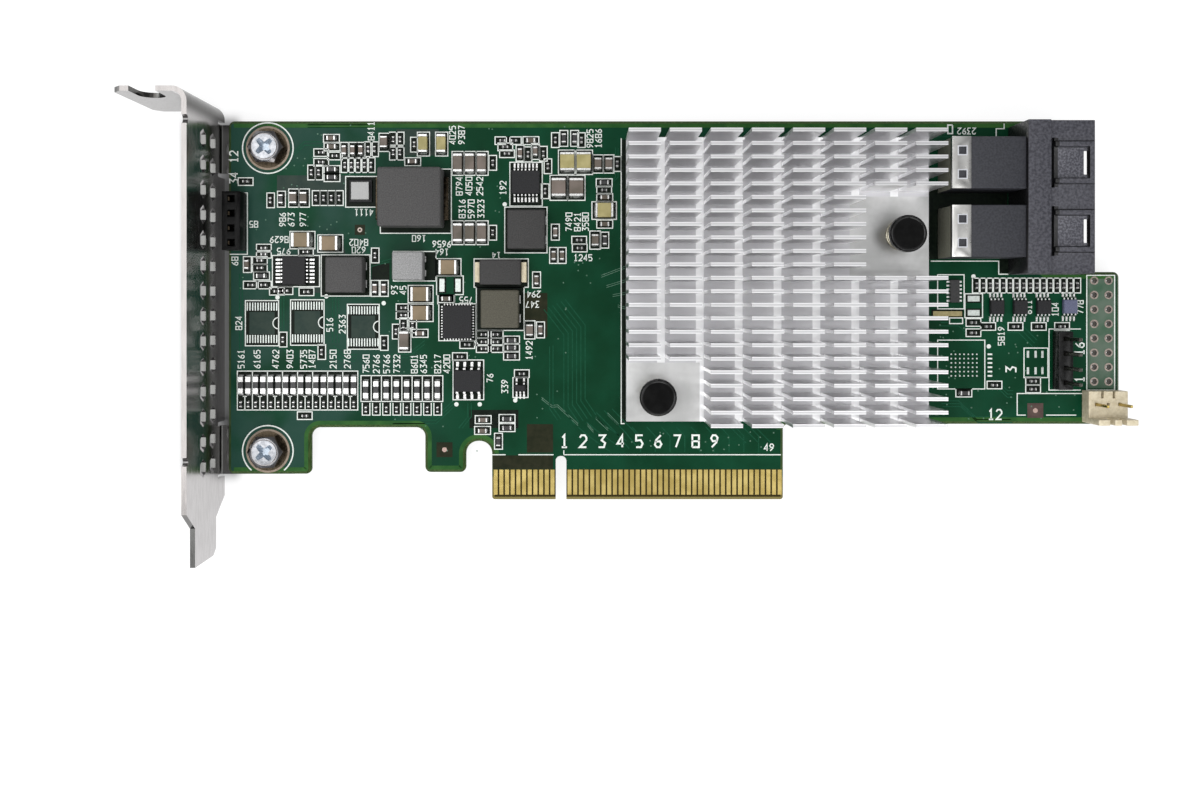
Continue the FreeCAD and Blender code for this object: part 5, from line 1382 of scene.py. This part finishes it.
def rim_and_holes(ground, lands):
    """Mask that ends short of the cut edge, and a plated ring and a barrel dark with painted shade at each
    small hole.
    """
    outline, *holes = board_loops()
    inset, largest, plating = 0.7, 0.9, 0.24
    left_end, right_end, tongue_top, notch_half, notch_top = -57, 97, 4.0, 3, 10
    count = len(outline)
    inner = []
    for step, spot in enumerate(outline):
        back = (spot - outline[step - 1]).normalized()
        ahead = (outline[(step + 1) % count] - spot).normalized()
        normal = Vector((-(back.y + ahead.y), back.x + ahead.x)).normalized()
        inner.append(spot + normal * inset / max(0.5, normal.dot(Vector((-ahead.y, ahead.x)))))
    for step, spot in enumerate(outline):
        far = (step + 1) % count
        beside_notch = abs(spot.x) < notch_half and spot.y < notch_top
        across = left_end < max(spot.x, outline[far].x) and min(spot.x, outline[far].x) < right_end
        if min(spot.y, outline[far].y) > tongue_top and across and not beside_notch:
            ground.prism([spot, outline[far], inner[far], inner[step]], TOP, TOP + TRACK, MASK_RIM)
    for hole in holes:
        middle = sum(hole, Vector((0, 0))) / len(hole)
        radius = max((spot - middle).length for spot in hole)
        if radius > largest:
            continue
        for low, high in ((TOP, TOP + PAD), (BACK - PAD, BACK)):
            lands.ring(*middle, radius - 0.02, radius + plating, low, high, RING, 28)
        # The barrel's dark tone is painted shade in the hole
        lands.ring(*middle, radius * 0.86, radius * 0.92, BACK, TOP, BRONZE_AND_SHADE, 24)


def tracks_and_vias(ground):
    """Copper lines under the mask and small covered holes in the free areas."""
    width, light_width, light_gap, clear = 0.16, 0.09, 0.34, 0.9
    for path, count, (shift_x, shift_y) in TRACKS:
        for step in range(count):
            spots = [(x + shift_x * step, y + shift_y * step) for x, y in path]
            ground.stroke(spots, width, TOP, TOP + TRACK, MASK_LINE)
    for path in LIGHT_TRACKS:
        for shift in (0.0, light_gap):
            ground.stroke([(x, y - shift) for x, y in path], light_width, TOP, TOP + TRACK, MASK_HOLE)
    bare = ("circuit_board", "mounting_bracket", "front_contacts", "back_contacts")
    taken = [corners for node in NODES if node not in bare for corners in solids_of(node)]
    chance = random.Random(7)
    for low_x, low_y, high_x, high_y, count in VIA_ZONES:
        for step in range(count):
            x, y = chance.uniform(low_x, high_x), chance.uniform(low_y, high_y)
            if any(low.x - clear < x < high.x + clear and low.y - clear < y < high.y + clear
                   for low, high in taken):
                continue
            ground.flat_ring(x, y, 0.04, 0.13, PATCH + 0.01, MASK_HOLE, 12)


def on_board(loops, spot, margin):
    """Whether a place lies on the board, clear of its edge and of its holes."""
    inside = False
    for loop in loops:
        for start, end in zip(loop, loop[1:] + loop[:1]):
            run = end - start
            share = max(0.0, min(1.0, (spot - start).dot(run) / run.length_squared))
            if (spot - start - run * share).length < margin:
                return False
            passes = (start.y > spot.y) != (end.y > spot.y)
            if passes and spot.x < start.x + run.x * (spot.y - start.y) / run.y:
                inside = not inside
    return inside


def solder_side(ground):
    """Covered holes and tracks on the back of the board."""
    loops = board_loops()
    chance = random.Random(3)
    holes, bundles, lanes, hole_margin, track_margin = 260, 26, (0.0, 0.5, 1.0), 0.6, 0.4
    for step in range(holes):
        spot = Vector((chance.uniform(-56, 96), chance.uniform(16, 65)))
        if on_board(loops, spot, hole_margin):
            ground.ring(*spot, 0.13, 0.3, BACK - PATCH, BACK, MASK_LINE, 12)
    for step in range(bundles):
        for lane in lanes:
            start = Vector((-50 + 5.4 * step + lane, 20 + 3.0 * (step % 7) - lane))
            path = [start + Vector(run) for run in ((0, 0), (6, 0), (9, 3), (9, 14))]
            spots = [near.lerp(far, share / 8) for near, far in zip(path, path[1:]) for share in range(9)]
            if all(on_board(loops, spot, track_margin) for spot in spots):
                ground.stroke(path, 0.2, BACK - TRACK, BACK, MASK_LINE)


def print_on_board():
    """White print, lands, tracks, tones of mask and patches of painted shade on the board."""
    ink, ground, lands = Shape("white_print"), Shape("mask_tones"), Shape("bare_lands")
    for tone, limits in TONED_AREAS:
        ground.flat(limits, TRACK / 2, tone)
    frames_round_components(ink, ground)
    resistor_blocks(ink, ground)
    empty_places(ink, ground, lands)
    marks(ground, lands)
    screw_lands(ink, lands)
    rim_and_holes(ground, lands)
    tracks_and_vias(ground)
    solder_side(ground)
    for path in LINES:
        line(ink, *path)
    for limits in FRAMES:
        framed(ink, None, limits)
    chance = random.Random(11)
    for x, y, turn, count in NUMBERS:
        number(ink, str(chance.randrange(10 ** (count - 1), 10 ** count)), x, y, NUMERAL_HEIGHT, turn)
    for x, y, turn, height, text in LARGE_NUMBERS:
        number(ink, text, x, y, height, turn)
    for shape in (ink, ground, lands):
        shape.piece()


dress()
bracket_screws()
push_pins()
chip_components()
leaded_packages()
blocks()
connectors()
print_on_board()
studio()
photo_camera()

bpy.context.scene.view_settings.view_transform = "Standard"
